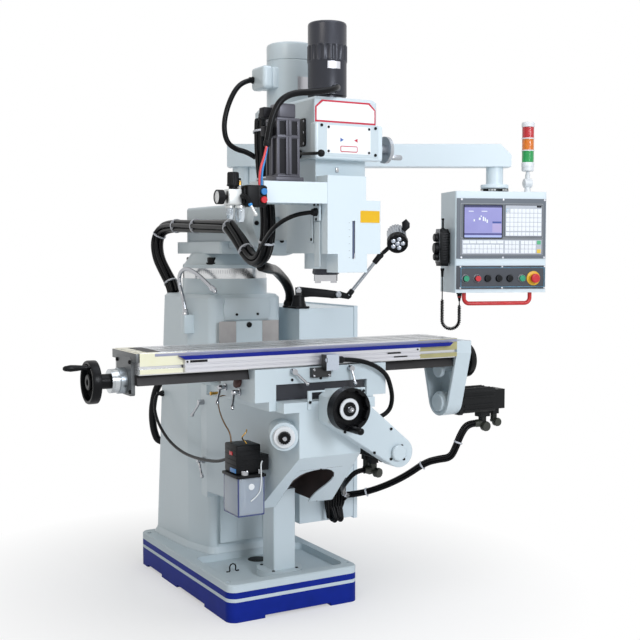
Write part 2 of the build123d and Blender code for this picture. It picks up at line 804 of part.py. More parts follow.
lug_inner = nod_half + face_gap
with BuildPart() as head_casting:
    block(-head_half, head_half, head_front, head_rear, head_floor, head_roof)
    fillet(head_casting.edges().filter_by(Axis.Z).group_by(Axis.Y)[-1], 25)
    rod((0, quill_y, head_floor - 57), (0, 0, 1), 80, 60)
    block(-58, 58, head_front, quill_y, head_floor - 57, head_floor)
    for side in (-1, 1):
        low, high = sorted((side * lug_inner, side * (lug_inner + lug_width)))
        block(low, high, head_rear - 20, nod_y, swivel_z - lug_radius, swivel_z + lug_radius)
        rod((low, nod_y, swivel_z), (1, 0, 0), lug_radius, lug_width)
    rod((-200, nod_y, swivel_z), (1, 0, 0), nod_pin_radius + turn_gap, 400, Mode.SUBTRACT)
    rod((0, quill_y, 1300), (0, 0, 1), quill_radius + turn_gap, 600, Mode.SUBTRACT)
head_casting.part.label = "head_casting"
export_step(head_casting.part, "parts/head_casting.step")

with BuildPart() as quill:
    rod((0, quill_y, quill_nose), (0, 0, 1), quill_radius, quill_roof - quill_nose)
    chamfer(quill.edges().group_by(Axis.Z)[0], 3)
    rod((0, quill_y, quill_nose), (0, 0, 1), spindle_radius + turn_gap, 500, Mode.SUBTRACT)
quill.part.label = "quill"
export_step(quill.part, "parts/quill.step")

nose_low = quill_nose - nose_length
with BuildPart() as spindle:
    rod((0, quill_y, nose_low), (0, 0, 1), nose_radius, nose_length - face_gap)
    rod((0, quill_y, nose_low), (0, 0, 1), spindle_radius, quill_roof - nose_low)
    rod((0, quill_y, quill_roof - 2), (0, 0, 1), 22, 202)
    rod((0, quill_y, nose_low), (0, 0, 1), drawbar_bore, 700, Mode.SUBTRACT)
    with Locations((0, quill_y, nose_low)):
        Cone(
            taper_radius, taper_radius - taper_length * 7 / 48, taper_length,
            align=(Align.CENTER, Align.CENTER, Align.MIN), mode=Mode.SUBTRACT,
        )
    for side in (-1, 1):
        low, high = sorted((side * 25, side * 43))
        block(low, high, quill_y - 8, quill_y + 8, nose_low - 8, nose_low + 4)
    with Locations((0, quill_y, nose_low)):
        with PolarLocations(33.35, 4, 45):
            Cylinder(5, 40, mode=Mode.SUBTRACT)
spindle.part.label = "spindle"
export_step(spindle.part, "parts/spindle.step")

wheel_y = -800.0
wheel_z = 1828.0
with BuildPart() as drive_housing:
    block(-housing_half, housing_half, housing_front, housing_rear, head_roof, housing_roof)
    fillet(drive_housing.edges().filter_by(Axis.Z).group_by(Axis.Y)[-1], 60)
    chamfer(drive_housing.faces().sort_by(Axis.Z)[-1].edges(), 12)
    block(-housing_half + 4, housing_half - 4, -890, housing_front, 1786, 1905)
    inner = housing_half - housing_wall
    block(
        -inner, inner, housing_front + housing_wall, housing_rear - 70, head_roof + 12, housing_roof - 16,
        Mode.SUBTRACT,
    )
    rod((0, quill_y, head_roof - 1), (0, 0, 1), 40, 30, Mode.SUBTRACT)
    rod((housing_half - 2, wheel_y, wheel_z), (1, 0, 0), 20, 62)
    rod((housing_half - 20, wheel_y, wheel_z), (1, 0, 0), 8 + turn_gap, 90, Mode.SUBTRACT)
drive_housing.part.label = "drive_housing"
export_step(drive_housing.part, "parts/drive_housing.step")

motor_y = -450.0
motor_top = 2255.0
with BuildPart() as spindle_motor:
    rod((0, motor_y, housing_roof), (0, 0, 1), 95, motor_top - housing_roof)
    fillet(spindle_motor.edges().group_by(Axis.Z)[-1], 22)
    rod((0, motor_y, housing_roof), (0, 0, 1), 97, 14)
    with BuildSketch(Plane.XY.offset(2184)):
        with Locations((0, motor_y)):
            Circle(99)
            Circle(93, mode=Mode.SUBTRACT)
    extrude(amount=3, mode=Mode.SUBTRACT)
    block(-148, -60, motor_y - 55, motor_y + 55, 2072, 2160)
spindle_motor.part.label = "spindle_motor"
export_step(spindle_motor.part, "parts/spindle_motor.step")

drawbar_y = -735.0
with BuildPart() as drawbar_cylinder:
    rod((0, drawbar_y, housing_roof), (0, 0, 1), 62, 20)
    rod((0, drawbar_y, housing_roof + 18), (0, 0, 1), 72, 273)
    fillet(drawbar_cylinder.edges().group_by(Axis.Z)[-1], 10)
    with Locations((0, drawbar_y, 2170)):
        with PolarLocations(73, 28):
            Cylinder(3.5, 78, mode=Mode.SUBTRACT)
    hose_way = Vector(-0.3, -0.95, 0).normalized()
    hose_gland = Vector(2, drawbar_y - 50, 2042)
    rod(hose_gland, hose_way, 16, 34)
drawbar_cylinder.part.label = "drawbar_cylinder"
export_step(drawbar_cylinder.part, "parts/drawbar_cylinder.step")

stepped_cover = [
    (-101, 1717),
    (60, 1717),
    (60, 1631),
    (122, 1631),
    (122, 1438),
    (65, 1438),
    (65, 1371),
    (-58, 1371),
    (-58, 1438),
    (-101, 1438),
]
with BuildPart() as z_drive_cover:
    prism(Plane.XZ.offset(-head_front), stepped_cover, head_front - cover_front)
    with BuildSketch(Plane.XZ.offset(-head_front)) as pocket:
        with BuildLine():
            Polyline(*stepped_cover, close=True)
        make_face()
        offset(amount=-cover_wall, kind=Kind.INTERSECTION, mode=Mode.REPLACE)
    extrude(pocket.sketch, amount=head_front - cover_front - cover_wall, mode=Mode.SUBTRACT)
    block(2, 14, cover_front - 1, cover_front + 10, 1420, 1557, Mode.SUBTRACT)
    side = -head_half
    block(servo_bracket_left, side, servo_y - 55, servo_y + 55, servo_bracket_floor, servo_bracket_roof)
    block(
        servo_bracket_left + cover_wall, side - cover_wall, servo_y - 55 + cover_wall,
        servo_y + 55 - cover_wall, servo_bracket_floor - 1, servo_bracket_roof - 2 * cover_wall, Mode.SUBTRACT,
    )
    block(side - 1, -101, servo_y - 55, head_front, servo_bracket_floor, servo_bracket_roof)
    rod((servo_x, servo_y, servo_bracket_roof - 20), (0, 0, 1), 30, 40, Mode.SUBTRACT)
z_drive_cover.part.label = "z_drive_cover"
export_step(z_drive_cover.part, "parts/z_drive_cover.step")

with BuildPart() as z_servo:
    block(servo_x - 55, servo_x + 55, servo_y - 55, servo_y + 55, servo_bracket_roof, servo_bracket_roof + 16)
    block(servo_x - 45, servo_x + 45, servo_y - 45, servo_y + 45, servo_bracket_roof + 16, 1966)
    chamfer(z_servo.edges().filter_by(Axis.Z), 7)
    block(servo_x - 85, servo_x - 45, servo_y - 18, servo_y + 18, 1915, 1950)
    block(servo_x - 80, servo_x - 45, servo_y - 16, servo_y + 16, 1850, 1885)
    rod((servo_x, servo_y, servo_bracket_roof - 40), (0, 0, 1), 11, 42)
z_servo.part.label = "z_servo"
export_step(z_servo.part, "parts/z_servo.step")

valve_left = -412.0
valve_front = -905.0
valve_x = -354.0
with BuildPart() as air_unit:
    block(valve_left, servo_bracket_left, valve_front, -845, 1600, 1674)
    fillet(air_unit.edges().filter_by(Axis.Y), 4)
    for level in (1652, 1624):
        rod((valve_x, valve_front - 1, level), (0, 1, 0), 6 + round_gap, 30, Mode.SUBTRACT)
    block(-474, valve_left - 8, -886, -834, 1602, 1662)
    rod((valve_left - 10, -860, 1632), (1, 0, 0), 12, 14)
    rod((-445, -860, 1660), (0, 0, 1), 14, 14)
    rod((-445, -860, 1672), (0, 0, 1), 21, 46)
    rod((-472, -860, 1632), (-1, 0, 0), 9, 14)
    rod((-484, -860, 1632), (-1, 0, 0), 25, 24)
    rod((-458, -860, 1556), (0, 0, 1), 13, 48)
    rod((-424, -868, 1546), (0, 0, 1), 18, 58)
air_unit.part.label = "air_unit"
export_step(air_unit.part, "parts/air_unit.step")

with BuildPart() as clamp_button:
    rod((valve_x, valve_front + 18, 1652), (0, -1, 0), 6, 26)
    rod((valve_x, valve_front - 6, 1652), (0, -1, 0), 11, 8)
clamp_button.part.label = "clamp_button"
export_step(clamp_button.part, "parts/clamp_button.step")

with BuildPart() as release_button:
    rod((valve_x, valve_front + 18, 1624), (0, -1, 0), 6, 26)
    rod((valve_x, valve_front - 6, 1624), (0, -1, 0), 11, 8)
release_button.part.label = "release_button"
export_step(release_button.part, "parts/release_button.step")

with BuildPart() as speed_wheel:
    rod((housing_half - 15, wheel_y, wheel_z), (1, 0, 0), 8, 92)
    rod((housing_half + 60 + face_gap, wheel_y, wheel_z), (1, 0, 0), 18, 30)
    with BuildSketch(Plane(origin=(208, wheel_y, wheel_z), x_dir=(0, 1, 0), z_dir=(1, 0, 0))):
        Circle(50)
    extrude(amount=14)
    with BuildSketch(Plane(origin=(222, wheel_y, wheel_z), x_dir=(0, 1, 0), z_dir=(1, 0, 0))):
        Circle(42)
        Circle(20, mode=Mode.SUBTRACT)
    extrude(amount=-8, mode=Mode.SUBTRACT)
    bar((220, wheel_y - 29, wheel_z - 29), (262, wheel_y - 29, wheel_z - 29), 7)
speed_wheel.part.label = "speed_wheel"
export_step(speed_wheel.part, "parts/speed_wheel.step")

lever_root = (-housing_half - face_gap, -760.0, 1801.0)
with BuildPart() as range_lever:
    rod(lever_root, (-1, 0, 0), 17, 18)
    bar((-142, -760, 1801), (-150, -946, 1789), 5.5)
    ball((-150, -952, 1788.5), 13)
range_lever.part.label = "range_lever"
export_step(range_lever.part, "parts/range_lever.step")

# Cords of the ram and the head

loom_route = [
    (-150, 352, column_top),
    (-150, 352, 1300),
    (-152, 384, 1354),
    (-156, 452, 1412),
    (-160, 486, 1490),
    (-162, 440, 1562),
    (-164, 330, 1580),
    (-166, 150, 1579),
    (-168, -50, 1573),
    (-168, -215, 1556),
    (-168, -320, 1492),
    (-168, -380, 1425),
    (-168, -462, 1402),
    (-168, -540, 1440),
    (-168, -568, 1535),
    (-168, -550, 1640),
    (-167, -515, 1760),
    (-166, -488, 1870),
    (-166, -474, 1930),
]
with BuildPart() as cable_loom:
    cord_log.clear()
    tube("cable loom", loom_route, loom_diameter)
print("cable loom volume ratio", round(cable_loom.part.volume / sum(cord_log), 4))
cable_loom.part.label = "cable_loom"
export_step(cable_loom.part, "parts/cable_loom.step")

hose_route = [
    hose_gland + hose_way * 34,
    hose_gland + hose_way * 58,
    (-62, -872, 2022),
    (-140, -882, 2008),
    (-222, -884, 2000),
    (-274, -884, 1972),
    (-302, -882, 1922),
    (-316, -880, 1866),
    (-324, -878, 1812),
]
motor_route = [
    (-148, -450, 2112),
    (-180, -450, 2112),
    (-232, -452, 2080),
    (-272, -455, 2012),
    (-296, -460, 1930),
    (-288, -466, 1864),
    (-254, -476, 1832),
    (-204, -486, 1822),
]
quill_route = [
    (-101, -852, 1588),
    (-132, -852, 1588),
    (-180, -806, 1578),
    (-210, -732, 1546),
    (-214, -654, 1500),
    (-202, -578, 1458),
]
blue_route = [
    (-320, -874, 1812),
    (-328, -876, 1774),
    (-345, -878, 1722),
    (-345, -878, 1674),
]
red_route = [
    (-328, -884, 1812),
    (-338, -886, 1774),
    (-358, -886, 1722),
    (-358, -886, 1674),
]
with BuildPart() as head_cables:
    cord_log.clear()
    tube("drawbar hose", hose_route, 23)
    tube("motor cable", motor_route, 20)
    tube("quill cable", quill_route, 16)
    tube("blue air tube", blue_route, 8)
    tube("red air tube", red_route, 8)
print("head cables volume ratio", round(head_cables.part.volume / sum(cord_log), 4))
head_cables.part.label = "head_cables"
export_step(head_cables.part, "parts/head_cables.step")

conduit_route = [
    (-128, -436, 1390),
    (-94, -420, 1383),
    (-30, -330, 1376),
    (44, -220, 1372),
    (118, -124, 1350),
    (190, -52, 1312),
    (234, -6, 1264),
    (241, 13, 1228),
    (241, 13, cabinet_top),
]
hank_step = 15.0
hank_loops = 6
hank_front = hook_y - 17.5
hank_back = hook_y + 17.5
hank_roof = 425.0
hank_base = 272.0
hank_right = 434.0
hank_up = Vector(-hank_step / 2, 0, hank_roof - hank_base).normalized()
hank_down = Vector(-hank_step / 2, 0, hank_base - hank_roof).normalized()
hank_spots = []
for loop in range(hank_loops):
    x = hank_right - loop * hank_step
    hank_spots.append((Vector(x, hank_front, hank_base), hank_up))
    hank_spots.append((Vector(x - hank_step / 2, hank_front, hank_roof), hank_up))
    hank_spots.append((Vector(x - hank_step / 2, hank_back, hank_roof), hank_down))
    hank_spots.append((Vector(x - hank_step, hank_back, hank_base), hank_down))
last_x = hank_right - hank_loops * hank_step
last_up = Vector(-hank_step / 2, 0, hank_roof - hank_base).normalized()
hank_spots.append((Vector(last_x, hank_front, hank_base), last_up))
tail = Vector(last_x, hank_front, hank_base) + last_up * 205
hank_spots.append((tail, last_up))
hank_spots.append((Vector(tail.X - 2, cabinet_front - 15, tail.Z + 36), Vector(0, 1, 0)))
hank_spots.append((Vector(tail.X - 2, cabinet_front, tail.Z + 36), Vector(0, 1, 0)))

rear_route = [
    loop_top,
    loop_top + loop_way * 48,
    (-240, 499, 808),
    (-264, 516, 758),
    (-274, 523, 702),
    (-271, 524, 648),
    (-252, 514, 603),
    loop_low + loop_way * 48,
    loop_low,
]
with BuildPart() as cabinet_cables:
    cord_log.clear()
    tube("rear cable loop", rear_route, 34)
    tube("cabinet conduit", conduit_route, conduit_diameter)
    wound("spare cable hank", hank_spots, hank_diameter)
print("cabinet cables volume ratio", round(cabinet_cables.part.volume / sum(cord_log), 4))
cabinet_cables.part.label = "cabinet_cables"
export_step(cabinet_cables.part, "parts/cabinet_cables.step")

# Knee

crank_spot = Vector(-167, -700, 763)
crank_run = Vector(-crank_spot.X, post_y - crank_spot.Y, 0)
crank_way = crank_run.normalized()
gear_setback = 78.85
gear_start = crank_run.length - gear_setback
bevel_top = 795.0
with BuildPart() as knee_casting:
    with BuildSketch(Plane.XZ.offset(-knee_front)) as front_face:
        with Locations((0, (knee_chin + knee_top) / 2)):
            Rectangle(2 * knee_front_half, knee_top - knee_chin)
    bend_share = (knee_bend - knee_front) / (knee_rear - knee_front)
    bend_half = knee_front_half + (knee_half - knee_front_half) * bend_share
    with BuildSketch(Plane.XZ.offset(-knee_bend)) as bend_face:
        with Locations((0, (knee_foot + knee_top) / 2)):
            Rectangle(2 * bend_half, knee_top - knee_foot)
    with BuildSketch(Plane.XZ.offset(-knee_rear)) as rear_face:
        with Locations((0, (knee_foot + knee_top) / 2)):
            Rectangle(2 * knee_half, knee_top - knee_foot)
    loft([front_face.sketch, bend_face.sketch, rear_face.sketch], ruled=True)
    plate_half = way_plate_half - slide_gap
    for side in (-1, 1):
        low, high = sorted((side * plate_half, side * 400))
        shelf = knee_top - way_plate_height - 2
        block(low, high, knee_front - 1, knee_rear, shelf, knee_top + 1, Mode.SUBTRACT)
    block(-plate_half, plate_half, knee_front, knee_rear, knee_top - way_plate_height, knee_top)
    block(-knee_half, knee_half, knee_rear, knee_flange_rear, 415, knee_top)
    rod(crank_spot - crank_way * 40, crank_way, 53, 150)
    grow = slide_gap
    slot = [
        (-way_root_half - grow, knee_flange_rear + 1),
        (-way_root_half - grow, column_front - grow),
        (-way_half - grow, way_front - grow),
        (way_half + grow, way_front - grow),
        (way_root_half + grow, column_front - grow),
        (way_root_half + grow, knee_flange_rear + 1),
    ]
    slot[0] = (-way_root_half - grow - 1.7, knee_flange_rear + 1)
    slot[1] = (-way_root_half - grow - 1.7, knee_flange_rear)
    slot[4] = (way_root_half + grow + 1.7, knee_flange_rear)
    slot[5] = (way_root_half + grow + 1.7, knee_flange_rear + 1)
    prism(Plane.XY.offset(400), slot, 500, Mode.SUBTRACT)
    block(-60, 60, knee_front + 60, knee_rear - 30, 835, knee_top + 1, Mode.SUBTRACT)
    block(-95, 95, -595, knee_rear - 30, 400, 800, Mode.SUBTRACT)
    rod((0, -595, 400), (0, 0, 1), 95, 400, Mode.SUBTRACT)
    rod((0, knee_front - 1, cross_z), (0, 1, 0), ball_screw_radius + turn_gap, 70, Mode.SUBTRACT)
    rod((0, post_y, 790), (0, 0, 1), 15 + turn_gap, 60, Mode.SUBTRACT)
    rod(crank_spot - crank_way * 50, crank_way, 12.5 + turn_gap, 300, Mode.SUBTRACT)
knee_casting.part.label = "knee_casting"
export_step(knee_casting.part, "parts/knee_casting.step")

with BuildPart() as elevating_screw:
    rod((0, post_y, 330), (0, 0, 1), screw_radius, 450)
    rod((0, post_y, 770), (0, 0, 1), 45, bevel_top - 770)
    chamfer(elevating_screw.edges().group_by(Axis.Z)[-1], 12)
    rod((0, post_y, bevel_top - 2), (0, 0, 1), 15, 34)
elevating_screw.part.label = "elevating_screw"
export_step(elevating_screw.part, "parts/elevating_screw.step")

with BuildPart() as crank_shaft:
    dial_face = crank_spot - crank_way * (40 + face_gap)
    rod(dial_face, crank_way * -1, 41, 16)
    rod(dial_face - crank_way * 15, crank_way * -1, 24, 14)
    rod(dial_face - crank_way * 28, crank_way * -1, 9, 14)
    rod(dial_face - crank_way * 8, crank_way, 12.5, gear_start + 52)
    rod(crank_spot + crank_way * gear_start, crank_way, 28, 20)
crank_shaft.part.label = "crank_shaft"
export_step(crank_shaft.part, "parts/crank_shaft.step")

belt_shell = 8.0
cover_depth = knee_front - belt_front
with BuildPart() as y_belt_cover:
    belt_head = [
        (belt_left, cross_z - 58),
        (belt_left, cross_z + 38),
        (belt_left + 28, cross_z + 62),
        (56, cross_z + 62),
    ]
    with BuildSketch(Plane.XZ.offset(-knee_front)) as belt_outline:
        with BuildLine():
            Polyline(*belt_head, close=True)
        make_face()
        with Locations((belt_x, belt_z)):
            Circle(belt_low_radius)
        make_hull()
    extrude(amount=cover_depth)
    fillet(y_belt_cover.faces().sort_by(Axis.Y)[0].edges(), 6)
    with BuildSketch(Plane.XZ.offset(-knee_front + belt_shell)) as belt_room:
        with BuildLine():
            Polyline(*belt_head, close=True)
        make_face()
        offset(amount=-belt_shell, kind=Kind.INTERSECTION, mode=Mode.REPLACE)
        with Locations((belt_x, belt_z)):
            Circle(belt_low_radius - belt_shell)
        make_hull()
    extrude(amount=cover_depth - 2 * belt_shell, mode=Mode.SUBTRACT)
    rod((belt_x, belt_front, belt_z), (0, -1, 0), 26, 6)
    rod((0, knee_front + 1, cross_z), (0, -1, 0), journal_radius + round_gap, 80, Mode.SUBTRACT)
    block(-100, 149, knee_front - 8, knee_front, 925, 931)
    block(-100, -84, knee_front - 8, knee_front, 862, 931)
    block(133, 149, knee_front - 8, knee_front, 790, 931)
    rod((belt_x, knee_front + 1, belt_z), (0, -1, 0), 20, 12, Mode.SUBTRACT)
y_belt_cover.part.label = "y_belt_cover"
export_step(y_belt_cover.part, "parts/y_belt_cover.step")

with BuildPart() as y_servo:
    motor_front = knee_front
    block(belt_x - 46, belt_x + 46, motor_front, motor_front + 14, belt_z - 46, belt_z + 46)
    block(belt_x - 41, belt_x + 41, motor_front + 13, motor_front + 200, belt_z - 41, belt_z + 41)
    chamfer(y_servo.edges().filter_by(Axis.Y), 6)
    block(belt_x - 16, belt_x + 16, motor_front + 110, motor_front + 142, belt_z - 72, belt_z - 40)
    block(belt_x - 14, belt_x + 14, motor_front + 160, motor_front + 190, belt_z - 66, belt_z - 40)
    rod((belt_x, motor_front + 126, belt_z - 70), (0, 0, -1), 16, 44)
    rod((belt_x, motor_front + 126, belt_z - 98), (-1, 0, 0), 14, 42)
    rod((belt_x, motor_front + 175, belt_z - 64), (0, 0, -1), 13, 40)
    rod((belt_x, motor_front + 2, belt_z), (0, -1, 0), 10, 40)
y_servo.part.label = "y_servo"
export_step(y_servo.part, "parts/y_servo.step")

with BuildPart() as y_ball_screw:
    rod((0, knee_front + 1, cross_z), (0, 1, 0), ball_screw_radius, 610)
    rod((0, knee_front + 2, cross_z), (0, -1, 0), journal_radius, 147)
y_ball_screw.part.label = "y_ball_screw"
export_step(y_ball_screw.part, "parts/y_ball_screw.step")

with BuildPart() as y_handwheel:
    hub_back = belt_front - face_gap
    rod((0, hub_back, cross_z), (0, -1, 0), 36, 66)
    rod((0, -872, cross_z), (0, -1, 0), 72, 10)
    rod((0, -872, cross_z), (0, -1, 0), 80, 42)
    rod((0, -884, cross_z), (0, -1, 0), 66, 40, Mode.SUBTRACT)
    with Locations(Plane(origin=(0, -884, cross_z), z_dir=(0, -1, 0))):
        with PolarLocations(64, 10, 18):
            Cylinder(9, 60, align=(Align.CENTER, Align.CENTER, Align.MIN), mode=Mode.SUBTRACT)
    rod((0, -880, cross_z), (0, -1, 0), 36, 16)
    rod((0, hub_back + 1, cross_z), (0, -1, 0), journal_radius + turn_gap, 72, Mode.SUBTRACT)
    rod((0, -880, cross_z - 71), (0, -1, 0), 11, 82)
    rod((0, -912, cross_z - 71), (0, -1, 0), 13, 72)
    fillet(y_handwheel.edges().filter_by(GeomType.CIRCLE).sort_by(Axis.Y)[0], 8)
y_handwheel.part.label = "y_handwheel"
export_step(y_handwheel.part, "parts/y_handwheel.step")

clamp_spot = (-knee_half, -70.0, 815.0)
with BuildPart() as knee_clamp:
    rod(clamp_spot, (-1, 0, 0), 11, 26)
    bar((-232, -70, 815), (-252, -36, 760), 5)
    ball((-252.5, -35, 758), 8)
knee_clamp.part.label = "knee_clamp"
export_step(knee_clamp.part, "parts/knee_clamp.step")


def knee_side(y):
    """Half width of the knee's flank at a depth."""
    return knee_front_half + (knee_half - knee_front_half) * (y - knee_front) / (knee_rear - knee_front)


tank_front = -610.0
tank_back = -479.0
tank_left = -314.0
tank_right = -200.0
with BuildPart() as lubricator:
    bracket = [
        (tank_right - 8, tank_front + 6),
        (-knee_side(tank_front + 6) - turn_gap, tank_front + 6),
        (-knee_side(tank_back - 6) - turn_gap, tank_back - 6),
        (tank_right - 8, tank_back - 6),
    ]
    block(tank_left, tank_right, tank_front, tank_back, 448, 600)
    fillet(lubricator.edges().filter_by(Axis.Z), 14)
    block(tank_left - 4, tank_right + 4, tank_front - 4, tank_back + 4, 594, 606)
    block(tank_left + 4, tank_right - 8, tank_front + 18, tank_back - 4, 606, 717)
    prism(Plane.XY.offset(615), bracket, 60)
    rod((tank_left + 34, tank_front + 10, 606), (0, 0, 1), 13, 16)
lubricator.part.label = "lubricator"
export_step(lubricator.part, "parts/lubricator.step")

servo_cable_route = [
    (837, long_y, 707),
    (803, long_y, 707),
    (772, -546, 664),
    (754, -536, 608),
    (742, -516, 562),
    (706, -478, 552),
    (668, -434, 534),
    (612, -362, 466),
    (548, -284, 412),
    (496, -214, 374),
    (461, -152, 334),
]
cross_cable_route = [
    (belt_x - 42, -634, 580),
    (belt_x - 78, -634, 580),
    (174, -600, 540),
    (197, -522, 490),
    (260, -418, 446),
    (340, -308, 404),
    (412, -222, 374),
    (446, -178, 352),
    (450, -150, 310),
]
hose_foot = Vector(knee_side(-650), -650, 780)
flank = Vector(knee_rear - knee_front, knee_front_half - knee_half, 0).normalized()
switch_hose_route = [
    (62, -724, 1036),
    (96, -724, 1036),
    (160, -732, 1027),
    (224, -730, 1004),
    (276, -722, 968),
    (304, -708, 920),
    (322, -696, 868),
    (316, -684, 816),
    (268, -670, 788),
    hose_foot + flank * 52,
    hose_foot,
]
lead_route = [
    lead_gland,
    lead_gland - Vector(24, 0, 0),
    (-268, 372, 752),
    (-270, 326, 682),
    (-268, 222, 624),
    (-268, 106, 596),
    (-268, -20, 585),
    (-270, -185, 593),
    (-272, -340, 612),
    (-272, -430, 640),
    (-272, tank_back - 4, 640),
]
oil_route = [
    (-290, -500, 717),
    (-290, -500, 748),
    (-296, -452, 782),
    (-288, -392, 818),
    (-262, -318, 850),
    (-234, -258, 864),
    (-plate_half, -258, 864),
]
with BuildPart() as knee_cables:
    cord_log.clear()
    tube("X servo cables", servo_cable_route, 30)
    tube("Y servo cables", cross_cable_route, 22)
    tube("switch hose", switch_hose_route, 18)
    tube("lubricator lead", lead_route, 13)
    tube("oil tube", oil_route, 6)
print("knee cables volume ratio", round(knee_cables.part.volume / sum(cord_log), 4))
knee_cables.part.label = "knee_cables"
export_step(knee_cables.part, "parts/knee_cables.step")

# Saddle

saddle_leg = 30.0
saddle_skirt = 35.0
cover_mouth = 63.0
with BuildPart() as saddle_casting:
    block(-saddle_half, saddle_half, saddle_front, saddle_rear, knee_top, saddle_top)
    for side in (-1, 1):
        low, high = sorted((side * way_plate_half, side * (way_plate_half + saddle_leg)))
        block(low, high, saddle_front, saddle_rear, knee_top - saddle_skirt, knee_top)
    block(
        -way_plate_half, way_plate_half, saddle_front, saddle_front + 20,
        knee_top, knee_top + cover_mouth, Mode.SUBTRACT,
    )
    block(-40, 40, -600, -520, cross_z - 28, knee_top + 2)
    rod((0, -610, cross_z), (0, 1, 0), ball_screw_radius + round_gap, 100, Mode.SUBTRACT)
    groove = [
        (long_y - rail_root - slide_gap, saddle_top + 1),
        (long_y - rail_root - slide_gap, saddle_top),
        (long_y - rail_foot - slide_gap, rail_floor - 0.5),
        (long_y - rail_inner + 4, rail_floor - 0.5),
        (long_y - rail_inner + 4, saddle_top + 1),
    ]
    prism(Plane.YZ.offset(-saddle_half - 1), groove, 2 * saddle_half + 2, Mode.SUBTRACT)
    mirrored = [(2 * long_y - y, z) for y, z in groove]
    prism(Plane.YZ.offset(-saddle_half - 1), mirrored, 2 * saddle_half + 2, Mode.SUBTRACT)
    middle_half = rail_inner - 3
    for side in (-1, 1):
        low, high = sorted((side * 70, side * (saddle_half + 1)))
        block(
            low, high, long_y - middle_half, long_y + middle_half, rail_floor - 9, saddle_top + 1, Mode.SUBTRACT
        )
    rod((-saddle_half - 1, long_y, long_z), (1, 0, 0), ball_screw_radius + round_gap, 700, Mode.SUBTRACT)
saddle_casting.part.label = "saddle_casting"
export_step(saddle_casting.part, "parts/saddle_casting.step")

with BuildPart() as way_cover:
    block(
        -way_plate_half + 2, way_plate_half - 2, saddle_front + 14, saddle_front + 20,
        knee_top + 2, knee_top + cover_mouth - 2,
    )
way_cover.part.label = "way_cover"
export_step(way_cover.part, "parts/way_cover.step")

with BuildPart() as limit_switch:
    block(-55, 25, saddle_front - 22, saddle_front, saddle_top - 39, saddle_top - 3)
    block(-10, 46, saddle_front - 46, saddle_front - 10, saddle_top - 13, saddle_top + 47)
    rod((46, saddle_front - 24, saddle_top + 23), (1, 0, 0), 13, 16)
    rod((-6, saddle_front - 46, saddle_top + 27), (0, -1, 0), 9, 6)
limit_switch.part.label = "limit_switch"
export_step(limit_switch.part, "parts/limit_switch.step")

clamp_z = saddle_top - 13
with BuildPart() as table_clamp_left:
    rod((-130, saddle_front, clamp_z), (0, -1, 0), 11, 24)
    bar((-130, saddle_front - 17, clamp_z), (-84, saddle_front - 30, clamp_z - 45), 5)
    ball((-82, saddle_front - 30.5, clamp_z - 47), 8)
table_clamp_left.part.label = "table_clamp_left"
export_step(table_clamp_left.part, "parts/table_clamp_left.step")

with BuildPart() as table_clamp_right:
    rod((119, saddle_front, clamp_z), (0, -1, 0), 11, 24)
    bar((119, saddle_front - 17, clamp_z), (127, saddle_front - 30, clamp_z - 54), 5)
    ball((127.5, saddle_front - 30.5, clamp_z - 57), 8)
table_clamp_right.part.label = "table_clamp_right"
export_step(table_clamp_right.part, "parts/table_clamp_right.step")

# Table

with BuildPart() as table_plate:
    block(table_left, table_right, table_front, table_rear, saddle_top, table_top)
    chamfer(table_plate.edges().filter_by(Axis.X).group_by(Axis.Z)[-1], 2)
    tail_shape = [
        (long_y - rail_root, saddle_top + 2),
        (long_y - rail_root, saddle_top),
        (long_y - rail_foot, rail_floor),
        (long_y + rail_foot, rail_floor),
        (long_y + rail_root, saddle_top),
        (long_y + rail_root, saddle_top + 2),
    ]
    prism(Plane.YZ.offset(table_left), tail_shape, table_right - table_left)
    block(
        table_left, table_right, long_y - rail_inner, long_y + rail_inner,
        rail_floor - 1, saddle_top + 9, Mode.SUBTRACT,
    )
    for line in (-1, 0, 1):
        y = long_y + line * slot_pitch
        half = slot_width / 2
        block(table_left, table_right, y - half, y + half, table_top - 27, table_top, Mode.SUBTRACT)
        block(table_left, table_right, y - 14, y + 14, table_top - 31, table_top - 19, Mode.SUBTRACT)
    for y in (table_front + 10, table_rear - 22):
        block(table_left + 20, table_right - 20, y, y + 12, table_top - 5, table_top, Mode.SUBTRACT)
    block(table_left, table_right, table_front, table_front + 8, saddle_top, saddle_top + 5, Mode.SUBTRACT)
    groove = saddle_top + 22
    block(table_left, table_right, table_front, table_front + 9, groove, groove + 11, Mode.SUBTRACT)
table_plate.part.label = "table_plate"
export_step(table_plate.part, "parts/table_plate.step")

rail_face = table_front - 18
dogs_left = table_left + 163
dogs_right = table_right - 196
dogs_top = saddle_top + 51
with BuildPart() as dog_rail:
    block(dogs_left, dogs_right, rail_face, table_front, dogs_top - 44, dogs_top)
    for level in (dogs_top - 34, dogs_top - 20):
        block(dogs_left, dogs_right, rail_face - 1, rail_face + 8, level, level + 8, Mode.SUBTRACT)
    block(table_left + 142, table_right - 32, rail_face - 2, table_front, dogs_top, dogs_top + 14)
dog_rail.part.label = "dog_rail"
export_step(dog_rail.part, "parts/dog_rail.step")

with BuildPart() as left_bracket:
    block(table_left - 14, table_left, long_y - 78, long_y + 78, long_z - 50, long_z + 88)
    fillet(left_bracket.edges().filter_by(Axis.X), 12)
    rod((bracket_left, long_y, long_z), (1, 0, 0), 47, left_bracket_width)
    rod((bracket_left, long_y, long_z), (-1, 0, 0), 43, 30)
    rod((bracket_left - 40, long_y, long_z), (1, 0, 0), journal_radius + turn_gap, 200, Mode.SUBTRACT)
left_bracket.part.label = "left_bracket"
export_step(left_bracket.part, "parts/left_bracket.step")

